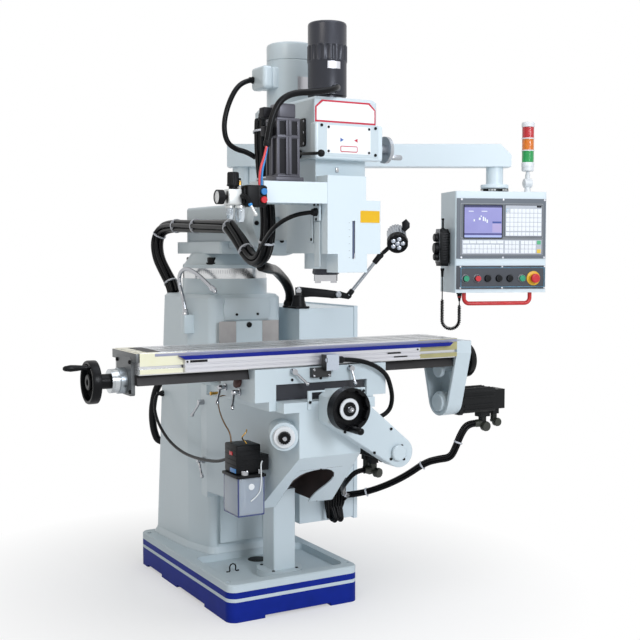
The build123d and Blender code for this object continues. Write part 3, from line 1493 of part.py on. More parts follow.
bracket_rim = 12.0
bracket_head = [
    (table_front, long_z + 43),
    (table_front, long_z + 93),
    (table_rear, long_z + 93),
    (table_rear, long_z + 43),
]
with BuildPart() as right_bracket:
    with BuildSketch(Plane.YZ.offset(table_right)) as bracket_outline:
        with BuildLine():
            Polyline(*bracket_head, close=True)
        make_face()
        with Locations((long_y, motor_z + 14)):
            Circle(70)
        make_hull()
    extrude(amount=right_bracket_width)
    with BuildSketch(Plane.YZ.offset(table_right)) as bracket_room:
        with BuildLine():
            Polyline(*bracket_head, close=True)
        make_face()
        offset(amount=-bracket_rim, kind=Kind.INTERSECTION, mode=Mode.REPLACE)
        with Locations((long_y, motor_z + 14)):
            Circle(70 - bracket_rim)
        make_hull()
    extrude(amount=right_bracket_width - 8, mode=Mode.SUBTRACT)
    rod((table_right, long_y, long_z), (1, 0, 0), 46, right_bracket_width)
    rod((table_right + 8, long_y, motor_z), (1, 0, 0), 48, right_bracket_width - 8)
    rod((table_right - 1, long_y, long_z), (1, 0, 0), journal_radius + turn_gap, 200, Mode.SUBTRACT)
    rod((table_right + 24, long_y, motor_z), (1, 0, 0), 20, 100, Mode.SUBTRACT)
right_bracket.part.label = "right_bracket"
export_step(right_bracket.part, "parts/right_bracket.step")

with BuildPart() as x_servo:
    block(bracket_right, bracket_right + 18, long_y - 55, long_y + 55, motor_z - 55, motor_z + 55)
    block(bracket_right + 17, bracket_right + 195, long_y - 50, long_y + 50, motor_z - 50, motor_z + 50)
    chamfer(x_servo.edges().filter_by(Axis.X), 8)
    block(bracket_right + 194, bracket_right + 250, long_y - 42, long_y + 42, motor_z - 42, motor_z + 42)
    plug_x = bracket_right + 162
    block(plug_x - 26, plug_x + 26, long_y - 20, long_y + 20, motor_z - 76, motor_z - 48)
    rod((plug_x, long_y, motor_z - 74), (0, 0, -1), 17, 48)
    rod((plug_x, long_y, motor_z - 105), (-1, 0, 0), 15, 47)
    block(plug_x + 46, plug_x + 78, long_y - 16, long_y + 16, motor_z - 68, motor_z - 40)
    rod((plug_x + 62, long_y, motor_z - 66), (0, 0, -1), 14, 38)
    rod((bracket_right + 2, long_y, motor_z), (-1, 0, 0), 12, 40)
x_servo.part.label = "x_servo"
export_step(x_servo.part, "parts/x_servo.step")

with BuildPart() as x_ball_screw:
    rod((table_left + 6, long_y, long_z), (1, 0, 0), ball_screw_radius, table_right - table_left - 12)
    rod((bracket_left - 102, long_y, long_z), (1, 0, 0), journal_radius, bracket_right - bracket_left + 176)
x_ball_screw.part.label = "x_ball_screw"
export_step(x_ball_screw.part, "parts/x_ball_screw.step")

dial_end = bracket_left - 30 - face_gap
wheel_back = bracket_left - 76
with BuildPart() as x_handwheels:
    rod((dial_end, long_y, long_z), (-1, 0, 0), 28, 82)
    rod((wheel_back, long_y, long_z), (-1, 0, 0), 72, 10)
    rod((wheel_back, long_y, long_z), (-1, 0, 0), 77.5, 36)
    rod((wheel_back - 12, long_y, long_z), (-1, 0, 0), 63, 40, Mode.SUBTRACT)
    with Locations(Plane(origin=(wheel_back - 12, long_y, long_z), z_dir=(-1, 0, 0))):
        with PolarLocations(61, 10, 18):
            Cylinder(9, 60, align=(Align.CENTER, Align.CENTER, Align.MIN), mode=Mode.SUBTRACT)
    rod((wheel_back - 8, long_y, long_z), (-1, 0, 0), 28, 26)
    rod((dial_end + 1, long_y, long_z), (-1, 0, 0), journal_radius + turn_gap, 90, Mode.SUBTRACT)
    rod((wheel_back - 9, long_y - 38, long_z + 57), (-1, 0, 0), 10, 60)
    rod((wheel_back - 44, long_y - 38, long_z + 57), (-1, 0, 0), 13, 88)
    rod((bracket_right + 44, long_y, long_z), (1, 0, 0), 74, 30)
    rod((bracket_right + 56, long_y, long_z), (1, 0, 0), 60, 40, Mode.SUBTRACT)
    rod((bracket_right + face_gap, long_y, long_z), (1, 0, 0), 30, 78)
    rod((bracket_right, long_y, long_z), (1, 0, 0), journal_radius + turn_gap, 90, Mode.SUBTRACT)
x_handwheels.part.label = "x_handwheels"
export_step(x_handwheels.part, "parts/x_handwheels.step")
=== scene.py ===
"""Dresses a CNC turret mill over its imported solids: paint, plates, drives, pendant, lamp and cords."""
import functools
import math

import bmesh
import bpy
from mathutils import Matrix, Vector


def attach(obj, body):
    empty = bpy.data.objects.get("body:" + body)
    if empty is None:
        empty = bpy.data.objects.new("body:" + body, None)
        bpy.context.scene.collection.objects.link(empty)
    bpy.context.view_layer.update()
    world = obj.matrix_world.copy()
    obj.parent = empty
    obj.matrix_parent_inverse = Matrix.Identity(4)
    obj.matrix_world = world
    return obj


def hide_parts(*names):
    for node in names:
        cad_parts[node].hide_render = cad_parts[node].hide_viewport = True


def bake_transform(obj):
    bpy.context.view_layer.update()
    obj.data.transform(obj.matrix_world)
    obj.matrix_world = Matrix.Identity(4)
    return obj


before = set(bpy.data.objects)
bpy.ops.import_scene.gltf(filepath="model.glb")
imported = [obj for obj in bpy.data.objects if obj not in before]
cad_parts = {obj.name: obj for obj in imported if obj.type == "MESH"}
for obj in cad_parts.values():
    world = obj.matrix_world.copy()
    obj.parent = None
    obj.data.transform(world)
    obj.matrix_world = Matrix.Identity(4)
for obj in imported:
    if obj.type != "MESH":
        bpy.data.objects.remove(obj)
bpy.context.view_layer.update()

bl_info = {
    "name": "Turret mill dressing",
    "version": (1, 0, 0),
    "blender": (4, 5, 0),
    "location": "View3D > Sidebar > Turret mill",
    "description": "Finishes, trim, drives, pendant, lamp and cords of a CNC turret mill",
    "category": "Object",
}

MM = 0.001
LEFT, RIGHT = (-1, 0, 0), (1, 0, 0)
FRONT, BACK = (0, -1, 0), (0, 1, 0)
DOWN, UP = (0, 0, -1), (0, 0, 1)
LONG_SCREW = (-552, 987)  # y and z of the table's feed screw, in millimetres


def linear(code):
    """Turns an sRGB hex value into a linear colour; a colour from the settings is linear already."""
    if not isinstance(code, str):
        return tuple(code)
    parts = [int(code[i:i + 2], 16) / 255 for i in (1, 3, 5)]
    return tuple(c / 12.92 if c <= 0.04045 else ((c + 0.055) / 1.055) ** 2.4 for c in parts) + (1.0,)


def tint(name, text, code):
    """A colour that a user may change."""
    return bpy.props.FloatVectorProperty(
        name=name, description=text, subtype="COLOR", size=4, min=0.0, max=1.0, default=linear(code))


class MillColours(bpy.types.PropertyGroup):
    """Colours of the paints and plastics."""
    casting: tint("Casting enamel", "Pale paint on the castings", "#cbd8de")
    sheet: tint("Sheet enamel", "Pale paint on covers, boom and pendant", "#d2dfe5")
    base: tint("Base enamel", "Blue stripes round the base", "#1c2f98")
    strip: tint("Table strip", "Blue strip along the table", "#1a2790")
    handle: tint("Pendant handle", "Red grip under the pendant", "#d8282a")
    panel: tint("Panel foil", "Slate foil round the screen", "#5f6770")
    switches: tint("Switch foil", "Dark foil round the push buttons", "#31363f")


class MillSizes(bpy.types.PropertyGroup):
    """Sizes of the trim."""
    screw: bpy.props.FloatProperty(
        name="Cap screw head", description="Radius of a cap screw's head", default=0.0055, unit="LENGTH")
    tie: bpy.props.FloatProperty(
        name="Cable tie", description="Width of a cable tie", default=0.007, unit="LENGTH")
    key: bpy.props.FloatProperty(
        name="Key gap", description="Gap between two keys of the panel", default=0.0022, unit="LENGTH")


class MillStage(bpy.types.PropertyGroup):
    """Camera, floor and light."""
    eye: bpy.props.FloatVectorProperty(
        name="Camera", description="Place of the camera", size=3, subtype="TRANSLATION", unit="LENGTH",
        default=(-2.0376, -4.2469, 1.4447))
    dip: bpy.props.FloatProperty(
        name="Dip", description="How far the camera looks down", default=math.radians(3.586), unit="ROTATION")
    turn: bpy.props.FloatProperty(
        name="Turn", description="How far the camera looks to the right", default=math.radians(29.745),
        unit="ROTATION")
    lens: bpy.props.FloatProperty(
        name="Lens", description="Focal length in millimetres", default=60.92, unit="CAMERA")
    floor: bpy.props.FloatProperty(
        name="Floor", description="Half width of the floor", default=14.0, unit="LENGTH")


# Materials

ZONE_CLOUDS = 14.0  # clouds per metre in a zone's colour
DULL = {"Specular IOR Level": 0.14}  # keeps black plastics black under the sky


def add(tree, kind, settings=None, links=None):
    """Adds a node; settings are its attributes or input values, links feed its inputs."""
    node = tree.nodes.new(kind)
    for key, value in (settings or {}).items():
        if isinstance(key, int) or key in node.inputs:
            node.inputs[key].default_value = value
        else:
            setattr(node, key, value)
    for key, source in (links or {}).items():
        tree.links.new(source, node.inputs[key])
    return node


def surface(name, colour, drift, grain, relief, rough, spread=0.05, metallic=0.0, stretch=(1, 1, 1),
            soften=0.0, cloud=180.0, sockets=None):
    """A finish: broad colour drift, fine grain in gloss and relief, edges softened by a radius.

    Grain, relief, softening and clouds are in millimetres; stretch draws the grain out along an axis.
    """
    made = bpy.data.materials.new(name)
    made.use_nodes = True
    tree = made.node_tree
    shader = tree.nodes["Principled BSDF"]
    for key, value in {"Metallic": metallic, **(sockets or {})}.items():
        shader.inputs[key].default_value = value
    place = add(tree, "ShaderNodeTexCoord")
    along = add(tree, "ShaderNodeMapping", {"Scale": stretch}, {"Vector": place.outputs["Object"]})
    fine, broad = (
        add(tree, "ShaderNodeTexNoise", {"Scale": 1 / MM / size, "Detail": detail},
            {"Vector": along.outputs[0]})
        for size, detail in ((grain, 3.0), (cloud, 4.0)))
    tone = add(tree, "ShaderNodeMix", {"data_type": "RGBA", 6: linear(colour), 7: linear(drift)},
               {0: broad.outputs[0]})
    gloss = add(
        tree, "ShaderNodeMapRange",
        {"From Min": 0.3, "From Max": 0.7, "To Min": rough - spread, "To Max": rough + spread},
        {"Value": fine.outputs[0]})
    bump = add(tree, "ShaderNodeBump", {"Strength": 0.5, "Distance": relief * MM},
               {"Height": fine.outputs[0]})
    if soften:
        bevel = add(tree, "ShaderNodeBevel", {"samples": 4, "Radius": soften * MM})
        tree.links.new(bevel.outputs[0], bump.inputs["Normal"])
    tree.links.new(tone.outputs[2], shader.inputs["Base Color"])
    tree.links.new(gloss.outputs[0], shader.inputs["Roughness"])
    tree.links.new(bump.outputs[0], shader.inputs["Normal"])
    return made


def zone(made, limits, colour, drift, rough, metallic=0.0, ticks=None):
    """Gives a stretch of a finish another one; limits are (axis, low, high) in millimetres, ax is |x|.

    Ticks are (axis, centre one, centre two, count, share) for marks round a dial.
    """
    tree = made.node_tree
    shader = tree.nodes["Principled BSDF"]
    place = add(tree, "ShaderNodeTexCoord").outputs["Object"]
    split = add(tree, "ShaderNodeSeparateXYZ", None, {0: place})
    masks = []
    for axis, low, high in limits:
        source = split.outputs["XYZ".index(axis[-1].upper())]
        if axis == "ax":
            source = add(tree, "ShaderNodeMath", {"operation": "ABSOLUTE"}, {0: source}).outputs[0]
        settings = {"operation": "COMPARE", 1: (low + high) / 2 * MM, 2: (high - low) / 2 * MM}
        masks.append(add(tree, "ShaderNodeMath", settings, {0: source}).outputs[0])
    if ticks:
        axis, one, two, count, share = ticks
        pair = [split.outputs[i] for i in range(3) if "xyz"[i] != axis]
        arms = [
            add(tree, "ShaderNodeMath", {"operation": "SUBTRACT", 1: middle * MM}, {0: arm}).outputs[0]
            for arm, middle in zip(pair, (one, two))
        ]
        angle = add(tree, "ShaderNodeMath", {"operation": "ARCTAN2"}, {0: arms[0], 1: arms[1]}).outputs[0]
        turns = add(tree, "ShaderNodeMath", {"operation": "MULTIPLY", 1: count / math.tau}, {0: angle})
        part = add(tree, "ShaderNodeMath", {"operation": "FRACT"}, {0: turns.outputs[0]}).outputs[0]
        masks.append(add(tree, "ShaderNodeMath", {"operation": "LESS_THAN", 1: share}, {0: part}).outputs[0])
    mask = masks[0]
    for other in masks[1:]:
        mask = add(tree, "ShaderNodeMath", {"operation": "MULTIPLY"}, {0: mask, 1: other}).outputs[0]
    broad = add(tree, "ShaderNodeTexNoise", {"Scale": ZONE_CLOUDS, "Detail": 4.0}, {"Vector": place})
    tone = add(tree, "ShaderNodeMix", {"data_type": "RGBA", 6: linear(colour), 7: linear(drift)},
               {0: broad.outputs[0]})
    old = shader.inputs["Base Color"].links[0].from_socket
    both = add(tree, "ShaderNodeMix", {"data_type": "RGBA"}, {0: mask, 6: old, 7: tone.outputs[2]})
    tree.links.new(both.outputs[2], shader.inputs["Base Color"])
    old = shader.inputs["Roughness"].links[0].from_socket
    both = add(tree, "ShaderNodeMix", {3: rough}, {0: mask, 2: old})
    tree.links.new(both.outputs[0], shader.inputs["Roughness"])
    metal = shader.inputs["Metallic"]
    if metal.is_linked:
        both = add(tree, "ShaderNodeMix", {3: metallic}, {0: mask, 2: metal.links[0].from_socket})
        tree.links.new(both.outputs[0], metal)
    elif metal.default_value != metallic:
        both = add(tree, "ShaderNodeMix", {2: metal.default_value, 3: metallic}, {0: mask})
        tree.links.new(both.outputs[0], metal)


def plastic(name, colour, drift, rough=0.4, sockets=None):
    """Moulded plastic: an even colour with a faint spark-eroded grain of about a millimetre."""
    surface(name, colour, drift, 1.2, 0.04, rough, 0.06, cloud=40.0, sockets=sockets)


class MILL_OT_finishes(bpy.types.Operator):
    """Makes every finish of the mill"""
    bl_idname = "mill.finishes"
    bl_label = "Finishes"

    def enamels(self, hue):
        """Paint on castings and sheet."""
        shade = tuple(c * 0.9 for c in hue.casting[:3]) + (1.0,)
        # Enamel sprayed over filled and rubbed cast iron: soft gloss, orange peel of 7 mm, rounded edges.
        cast = {
            name: surface(name, hue.casting, shade, 7.0, 0.12, 0.34, soften=3.0, cloud=260.0)
            for name in ("cast_enamel", "column_enamel", "knee_enamel")
        }
        # Two scraped iron ways stand clear of the column's paint.
        zone(cast["column_enamel"], [("y", -72, -41), ("ax", 62.5, 143), ("z", 520, 1151)],
             "#b2afae", "#8d8886", 0.42, 0.7)
        # The hollow under the knee keeps its red brown primer.
        zone(cast["knee_enamel"], [("ax", 0, 95.5), ("y", -691, -129), ("z", 400, 868)],
             "#34211f", "#1c1413", 0.8)
        # Enamel on the base in level bands, blue and pale; the tray's floor stays pale like the castings.
        base = surface("base_enamel", hue.casting, shade, 7.0, 0.12, 0.5, soften=3.0,
                       sockets={"Specular IOR Level": 0.03})
        for low, high in ((-1, 81), (95, 120)):
            zone(base, [("z", low, high)], hue.base, "#18297c", 0.3)
        zone(base, [("z", 110, 121), ("ax", 0, 254), ("y", -440, -50)], hue.casting, shade, 0.36)
        # Powder coat on folded sheet: finer peel, a touch whiter than the castings.
        coats = {
            name: surface(name, hue.sheet, "#d8e4ea", 3.5, 0.06, 0.36, soften=1.5, cloud=300.0)
            for name in ("sheet_enamel", "cabinet_enamel", "pendant_enamel")
        }
        # Fittings on the cabinet's top are black, its hook is bare steel; the pendant's grip is red.
        zone(coats["cabinet_enamel"], [("z", 1198.6, 1320)], "#17181b", "#222327", 0.45)
        zone(coats["cabinet_enamel"], [("y", -160, -100.8), ("z", 400, 460)], "#55585c", "#3d4044", 0.35, 0.9)
        zone(coats["pendant_enamel"], [("z", 1100, 1268.5)], hue.handle, "#b81f22", 0.28)

    def irons(self):
        """The table, its end bearing and the turret's ring, marked by zones."""
        # Ground grey iron: fine lengthwise grinding lines, bright top, oiled yellow front; the dovetail
        # underneath is darkened as painted shade.
        table = surface("ground_iron", "#dcddde", "#bfc1c4", 5.0, 0.004, 0.28, 0.06, 0.85, (0.004, 1, 1), 1.0)
        top = ("z", 1092.2, 1094)
        # Painted shade: darker strips beside each T-slot on the top stand in for the shade at the slots'
        # edges.
        for slot in (-615, -552, -489):
            zone(table, [("y", slot - 19, slot - 8.1), top], "#7d7e80", "#636466", 0.4, 0.6)
            zone(table, [("y", slot + 8.1, slot + 13), top], "#6a6b6d", "#58595b", 0.4, 0.6)
        for low, high, colour, drift in (
                (-722, -545, "#e9e7da", "#dfddb4"), (455, 650, "#b5af7e", "#9a9467")):
            zone(table, [("x", low, high), ("y", -680, -678.5), ("z", 1013, 1092)], colour, drift, 0.4, 0.1)
        zone(table, [("x", -722, -650), top], "#ece8d6", "#dcd8c2", 0.4, 0.2)
        # Painted shade: the dovetail under the table is darker, as if in the table's own shadow.
        zone(table, [("z", 900, 1013.5)], "#3c3b3c", "#2b2a2b", 0.5, 0.6)
        # Dark milled iron of the table's end bearing, its dial turned and satin chromed with fine marks.
        end = surface("bearing_iron", "#6b6e70", "#585b5d", 2.0, 0.05, 0.4, 0.06, 0.8, soften=1.5)
        zone(end, [("x", -800, -760.2)], "#c9cdd0", "#b3b8bc", 0.22, 1.0)
        zone(end, [("x", -762, -736), ("y", -614, -490), ("z", 925, 1049)], "#a9b0b5", "#8f979d", 0.3, 1.0)
        zone(end, [("x", -735, -720), ("z", 1091.4, 1095)], "#ece8d6", "#dcd8c2", 0.4, 0.2)
        zone(end, [("x", -790, -778)], "#26282a", "#26282a", 0.5, 0.2, ("x", *LONG_SCREW, 100, 0.2))
        # Turned steel ring, satin, with engraved degree marks filled with dark paint.
        ring = surface("graduated_steel", "#d9dbdc", "#c3c5c7", 2.2, 0.015, 0.2, 0.05, 1.0, (1, 1, 0.08), 1.0)
        zone(ring, [("z", 1352, 1368)], "#3a3c40", "#3a3c40", 0.5, 0.2, ("z", 0.0, 179.0, 120, 0.12))
        # The limit switch's tumbled zinc casting, with a black foot, side lid and gland.
        switch = surface("switch_metal", "#c3cbd6", "#b2bac6", 2.0, 0.03, 0.32, 0.06, 0.6)
        for limits in ([("y", -722.6, -699), ("z", 973, 1010.5)], [("x", -10.6, -8)], [("x", 46.2, 70)]):
            zone(switch, limits, "#121315", "#1a1b1e", 0.4)

    def metals(self):
        """Bare, plated and anodised metal."""
        # Plated chrome over polished steel: near mirror with faint polishing haze.
        surface("chrome", "#b4b6ba", "#a2a4a9", 3.0, 0.004, 0.1, 0.03, 1.0)
        # Ground spindle steel, bright with fine rings.
        surface("ground_steel", "#c7c8cb", "#aeb0b4", 1.6, 0.01, 0.2, 0.06, 1.0, (1, 1, 0.1))
        # Zinc die casting, tumbled: soft grey shine.
        surface("die_cast", "#cfd2d2", "#b9bcbc", 2.0, 0.03, 0.32, 0.06, 0.9)
        # Clear anodised aluminium extrusion: silky white metal drawn along its length.
        surface("anodised_rail", "#d3d3d7", "#c9c9ce", 1.5, 0.0008, 0.32, 0.03, 0.5, (0.004, 1, 1))
        # Silver anodised aluminium of the lamp and the speed hand wheel: fine turned shine.
        surface("anodised_silver", "#b4b8be", "#a1a6ac", 1.4, 0.01, 0.3, 0.05, 0.9)
        # Black anodised and bead blasted drawbar housing and quill: a dim, even sheen.
        surface("anodised_black", "#34363f", "#282a31", 1.5, 0.03, 0.34, 0.06, 0.35)
        # Brown black anodised servo extrusion, drawn and left satin.
        surface("servo_bronze", "#595962", "#4a4a52", 1.4, 0.03, 0.4, 0.06, 0.3, soften=1.0)
        # Turned brass fittings: warm and bright.
        surface("brass", "#c79f55", "#b58c45", 1.4, 0.01, 0.25, 0.05, 1.0)
        # Bright reflector beads of the lamp, metallised behind clear lenses.
        surface("lamp_bead", "#dfe3ec", "#c6ccd8", 2.0, 0.0, 0.08, 0.02,
                sockets={"Coat Weight": 1.0, "Metallic": 0.5})

    def blacks(self):
        """Black plastic, rubber and lacquer."""
        # Black phenolic moulding, polished on the rim.
        surface("phenolic", "#08090b", "#0e0f12", 1.5, 0.03, 0.3, 0.06, soften=2.0, sockets=DULL)
        # Cable sheath of extruded black PVC: dull shine with a fine draw grain.
        surface("pvc_sheath", "#060709", "#0c0d10", 1.5, 0.05, 0.3, 0.06, sockets=DULL)
        # Black stove lacquer with a fine texture on the servo motors; its black is also painted shade on the
        # table's trough and over the tray's drain.
        surface("servo_lacquer", "#151617", "#1e1f20", 1.4, 0.08, 0.46, 0.07, soften=1.2, sockets=DULL)
        # Calendered rubber apron over the ways: dull black with a leathery grain of 3 mm.
        surface("apron_rubber", "#2a2b33", "#202127", 3.0, 0.15, 0.5, 0.08)
        # Moulded ABS of housings, glands and screw caps: black with a soft shine.
        plastic("black_abs", "#0e0f11", "#161719", 0.42, DULL)
        # Moulded inlays in the feed servo's channels, a shade duller.
        plastic("servo_channel", "#1b1b1e", "#242428", 0.5, DULL)
        # Olive black moulded connector shells.
        plastic("connector_shell", "#22261f", "#2b2f27", 0.45)

    def colours(self, hue):
        """Coloured plastics and printed plates."""
        for name, code, drift, rough in (
                # Dyed ABS: dials, signal post and labels, satin; the depth slot's blue grey is its steel rod
                # with the pocket's painted shade.
                ("grey_abs", "#8d9094", "#7f8286", 0.45), ("white_abs", "#e4e7e9", "#d8dcdf", 0.4),
                ("slot_shade_blue", "#525c7a", "#434c68", 0.4), ("yellow_ring", "#e8b51e", "#d9a516", 0.4),
                # Brushed red oxide primer on the table's stop: dull.
                ("primer_brown", "#4a2a26", "#3b211e", 0.6),
                # Caps of push buttons, moulded smooth: glossy.
                ("red_button", "#d0202c", "#b81a25", 0.3), ("green_button", "#1f9d73", "#178763", 0.3),
                ("blue_button", "#2c7fc4", "#2470b0", 0.3),
                # Embossed polyester keys with printed undersides: satin.
                ("key_white", "#eef1f4", "#e3e7ec", 0.4), ("key_grey", "#b9bec6", "#abb0b9", 0.4),
                ("key_green", "#54b583", "#4aa777", 0.4), ("key_yellow", "#e9c84a", "#dcba3c", 0.4),
                ("key_blue", "#7fc6e6", "#70b9da", 0.4),
                # Protective film left on the table's edge, its violet a painted reflection, and the tank's
                # thick blue corners: smooth.
                ("violet_film_reflection", "#9a9db2", "#878ba6", 0.25), ("tank_edge", "#39457a", "#303b69", 0.3),
                # Extruded nylon tubes and moulded ties: waxy shine.
                ("nylon_blue", "#2a8fd8", "#237fc4", 0.3), ("nylon_red", "#e0353a", "#c92c31", 0.3),
                ("nylon_brown", "#7a5a34", "#6a4d2b", 0.35), ("nylon_tie", "#c9ccd2", "#b8bbc2", 0.4),
                # Screen printed sign enamel: even, satin colour.
                ("plate_red", "#c8243e", "#ba1e37", 0.35), ("plate_yellow", "#e8b80e", "#dcaa08", 0.35),
                ("plate_blue", "#3d63b0", "#3557a0", 0.35)):
            plastic(name, code, drift, rough)
        # White enamelled sign plates, left blank.
        surface("plate_white", "#f2f4f5", "#e8ebed", 4.0, 0.01, 0.3, 0.04)
        # Blue enamel on the table's strip: smooth and deep.
        plastic("strip_enamel", hue.strip, "#151f78", 0.3, DULL)
        # Screen printed polyester foils of the panel, slate above and darker round the switches.
        foil = surface("panel_foil", hue.panel, "#565d66", 1.4, 0.03, 0.42)
        zone(foil, [("z", 1280, 1390)], hue.switches, "#2b2f38", 0.42)

    def panes(self):
        """Glass and clear plastics."""
        # Liquid crystal screen behind smooth glass: violet page, dark bars above and below.
        glass = surface("screen_glass", "#8d8cc8", "#a09fd6", 9.0, 0.0, 0.12, 0.02, cloud=60.0,
                        sockets={"Coat Weight": 0.6})
        for low, high, colour, drift in (
                (1640, 1650, "#2c2f55", "#34386a"), (1522, 1529, "#3d3f78", "#45488a"),
                (1511, 1520, "#b9c3ea", "#9fb0e6")):
            zone(glass, [("z", low, high)], colour, drift, 0.12)
        side = ("x", -42, -1)
        zone(glass, [side, ("z", 1572, 1580)], "#35498f", "#3d53a0", 0.12)
        zone(glass, [side, ("z", 1533, 1571)], "#a9a4d8", "#b6a6cf", 0.12)
        # Pressed acrylic lenses of the signal light: clear colour that lets light through.
        for name, code, drift in (("lens_red", "#d8202c", "#c41a26"), ("lens_amber", "#f0860c", "#e87706"),
                                  ("lens_green", "#16b05a", "#119f4e")):
            surface(name, code, drift, 2.0, 0.05, 0.16, 0.04, cloud=30.0,
                    sockets={"Transmission Weight": 0.25, "Coat Weight": 0.4})
        # Blow moulded polycarbonate of the filter bowls: clear, faintly blue.
        surface("clear_bowl", "#dbe2e8", "#cdd7df", 6.0, 0.05, 0.08, 0.03, cloud=60.0,
                sockets={"Transmission Weight": 0.85, "IOR": 1.5})
        # The oil tank's grey blue polycarbonate: cloudy, lets half of the light through.
        surface("tank_shell", "#ccd6e0", "#bac6d4", 6.0, 0.03, 0.14, 0.03, cloud=60.0,
                sockets={"Transmission Weight": 0.5, "IOR": 1.4})
        # Oil behind the tank's wall: still, with a wet shine.
        surface("tank_oil", "#94a2b4", "#76859a", 30.0, 0.0, 0.2, 0.03, sockets={"Coat Weight": 0.3})

    def execute(self, context):
        hue = context.scene.mill_colours
        self.enamels(hue)
        self.irons()
        self.metals()
        self.blacks()
        self.colours(hue)
        self.panes()
        return {"FINISHED"}


def dress(finish, *nodes):
    """Gives solids that stay showing a finish."""
    for name in nodes:
        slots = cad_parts[name].data.materials
        slots.clear()
        slots.append(bpy.data.materials[finish])


# Mesh work, in millimetres


def shape(build):
    """Lets a mesh function be called with sizes alone; piece() hands it the mesh."""
    @functools.wraps(build)
    def sized(*sizes):
        return lambda bm: build(bm, *sizes)
    return sized


@shape
def slab(bm, low, high, bevel=0.0, steps=3):
    """A block between two corners with rounded edges."""
    low, high = Vector(low), Vector(high)
    place = Matrix.Translation((low + high) / 2) @ Matrix.Diagonal((*(high - low), 1))
    corners = bmesh.ops.create_cube(bm, size=1, matrix=place)["verts"]
    if bevel:
        edges = list({edge for corner in corners for edge in corner.link_edges})
        bmesh.ops.bevel(bm, geom=edges, offset=bevel, segments=steps, profile=0.5, affect="EDGES")


@shape
def turned(bm, start, way, profile, sides=48, flutes=0):
    """A turned piece from (radius, height) rows; a row's third value is how deep flutes cut it."""
    spin = Vector(way).to_track_quat("Z", "Y")
    start = Vector(start)
    rings = []
    for row in profile:
        cut = row[2] if len(row) > 2 else 0.0
        ring = []
        for step in range(sides if row[0] else 1):
            angle = math.tau * step / sides
            radius = row[0] - cut * (0.5 + 0.5 * math.cos(flutes * angle))
            ring.append(bm.verts.new(start + spin @ Vector(
                (radius * math.cos(angle), radius * math.sin(angle), row[1]))))
        rings.append(ring)
    for low, high in zip(rings, rings[1:]):
        for step in range(sides):
            after = (step + 1) % sides
            if len(low) == 1 and len(high) == 1:
                break
            if len(low) == 1:
                bm.faces.new((low[0], high[step], high[after]))
            elif len(high) == 1:
                bm.faces.new((low[step], low[after], high[0]))
            else:
                bm.faces.new((low[step], low[after], high[after], high[step]))
    for ring in (rings[0], rings[-1]):
        if len(ring) > 1:
            bm.faces.new(ring)


@shape
def plate(bm, outline, base, across, up, thick, bevel=0.0):
    """A flat outline carried along its normal, its outer rim bevelled."""
    base, across, up = Vector(base), Vector(across), Vector(up)
    normal = across.cross(up).normalized()
    low = [bm.verts.new(base + across * x + up * y) for x, y in outline]
    high = [bm.verts.new(corner.co + normal * thick) for corner in low]
    count = len(low)
    for i in range(count):
        bm.faces.new((low[i], low[(i + 1) % count], high[(i + 1) % count], high[i]))
    bm.faces.new(low)
    top = bm.faces.new(high)
    if bevel:
        bmesh.ops.bevel(bm, geom=list(top.edges), offset=bevel, segments=2, profile=0.5, affect="EDGES")


def front_plate(outline, y, thick, bevel=0.0):
    """A plate that faces the front."""
    return plate(outline, (0, y, 0), RIGHT, UP, thick, bevel)


def flat_plate(outline, z, thick, bevel=0.0):
    """A plate that lies level."""
    return plate(outline, (0, 0, z), RIGHT, BACK, thick, bevel)


@shape
def border(bm, outline, inner, y, thick):
    """A flat frame between two outlines, facing the front."""
    rims = [[bm.verts.new((x, y, z)) for x, z in line] for line in (outline, inner)]
    for i in range(len(outline)):
        after = (i + 1) % len(outline)
        bm.faces.new((rims[0][i], rims[0][after], rims[1][after], rims[1][i]))
    bmesh.ops.solidify(bm, geom=list(bm.faces), thickness=thick)


def rounded(low_x, low_y, high_x, high_y, radius, steps=5):
    """The outline of a rectangle with round corners."""
    spots = []
    for cx, cy, start in ((high_x - radius, high_y - radius, 0), (low_x + radius, high_y - radius, 90),
                          (low_x + radius, low_y + radius, 180), (high_x - radius, low_y + radius, 270)):
        for step in range(steps + 1):
            angle = math.radians(start + 90 * step / steps)
            spots.append((cx + radius * math.cos(angle), cy + radius * math.sin(angle)))
    return spots


def curved(middle, radius, since, till, inner, step=4):
    """The outline of a plate bent round an upright cylinder, between two angles seen from the front."""
    ways = [(math.sin(math.radians(a)), math.cos(math.radians(a))) for a in range(since, till, step)]
    return ([(radius * x, middle - radius * y) for x, y in ways]
            + [(inner * x, middle - inner * y) for x, y in reversed(ways)])


def carried(line):
    """Two cross directions at each point of a line, carried along it without twist."""
    ways = [(after - before).normalized() for before, after in zip(line, line[1:])]
    ways.append(ways[-1])
    side = ways[0].orthogonal().normalized()
    frames = []
    for way in ways:
        side = (side - way * side.dot(way)).normalized()
        frames.append((side.copy(), way.cross(side)))
    return frames


@shape
def sleeve(bm, line, radius, sides=14):
    """A round tube along a line of points, closed at its ends."""
    line = [Vector(spot) for spot in line]
    turns = [math.tau * i / sides for i in range(sides)]
    rings = [
        [bm.verts.new(spot + (side * math.cos(a) + over * math.sin(a)) * radius) for a in turns]
        for spot, (side, over) in zip(line, carried(line))
    ]
    for low, high in zip(rings, rings[1:]):
        for i in range(sides):
            bm.faces.new((low[i], low[(i + 1) % sides], high[(i + 1) % sides], high[i]))
    bm.faces.new(rings[0])
    bm.faces.new(rings[-1])


@shape
def screws(bm, spots, way, radius, height=None):
    """Cap screws with a hexagon socket, standing on a face."""
    height = height or radius
    rows = [(radius, -0.5), (radius, height * 0.85), (radius * 0.86, height),
            (radius * 0.62, height, radius * 0.08), (radius * 0.6, height * 0.45, radius * 0.08),
            (0, height * 0.35)]
    for spot in spots:
        turned(spot, way, rows, 24, 6)(bm)


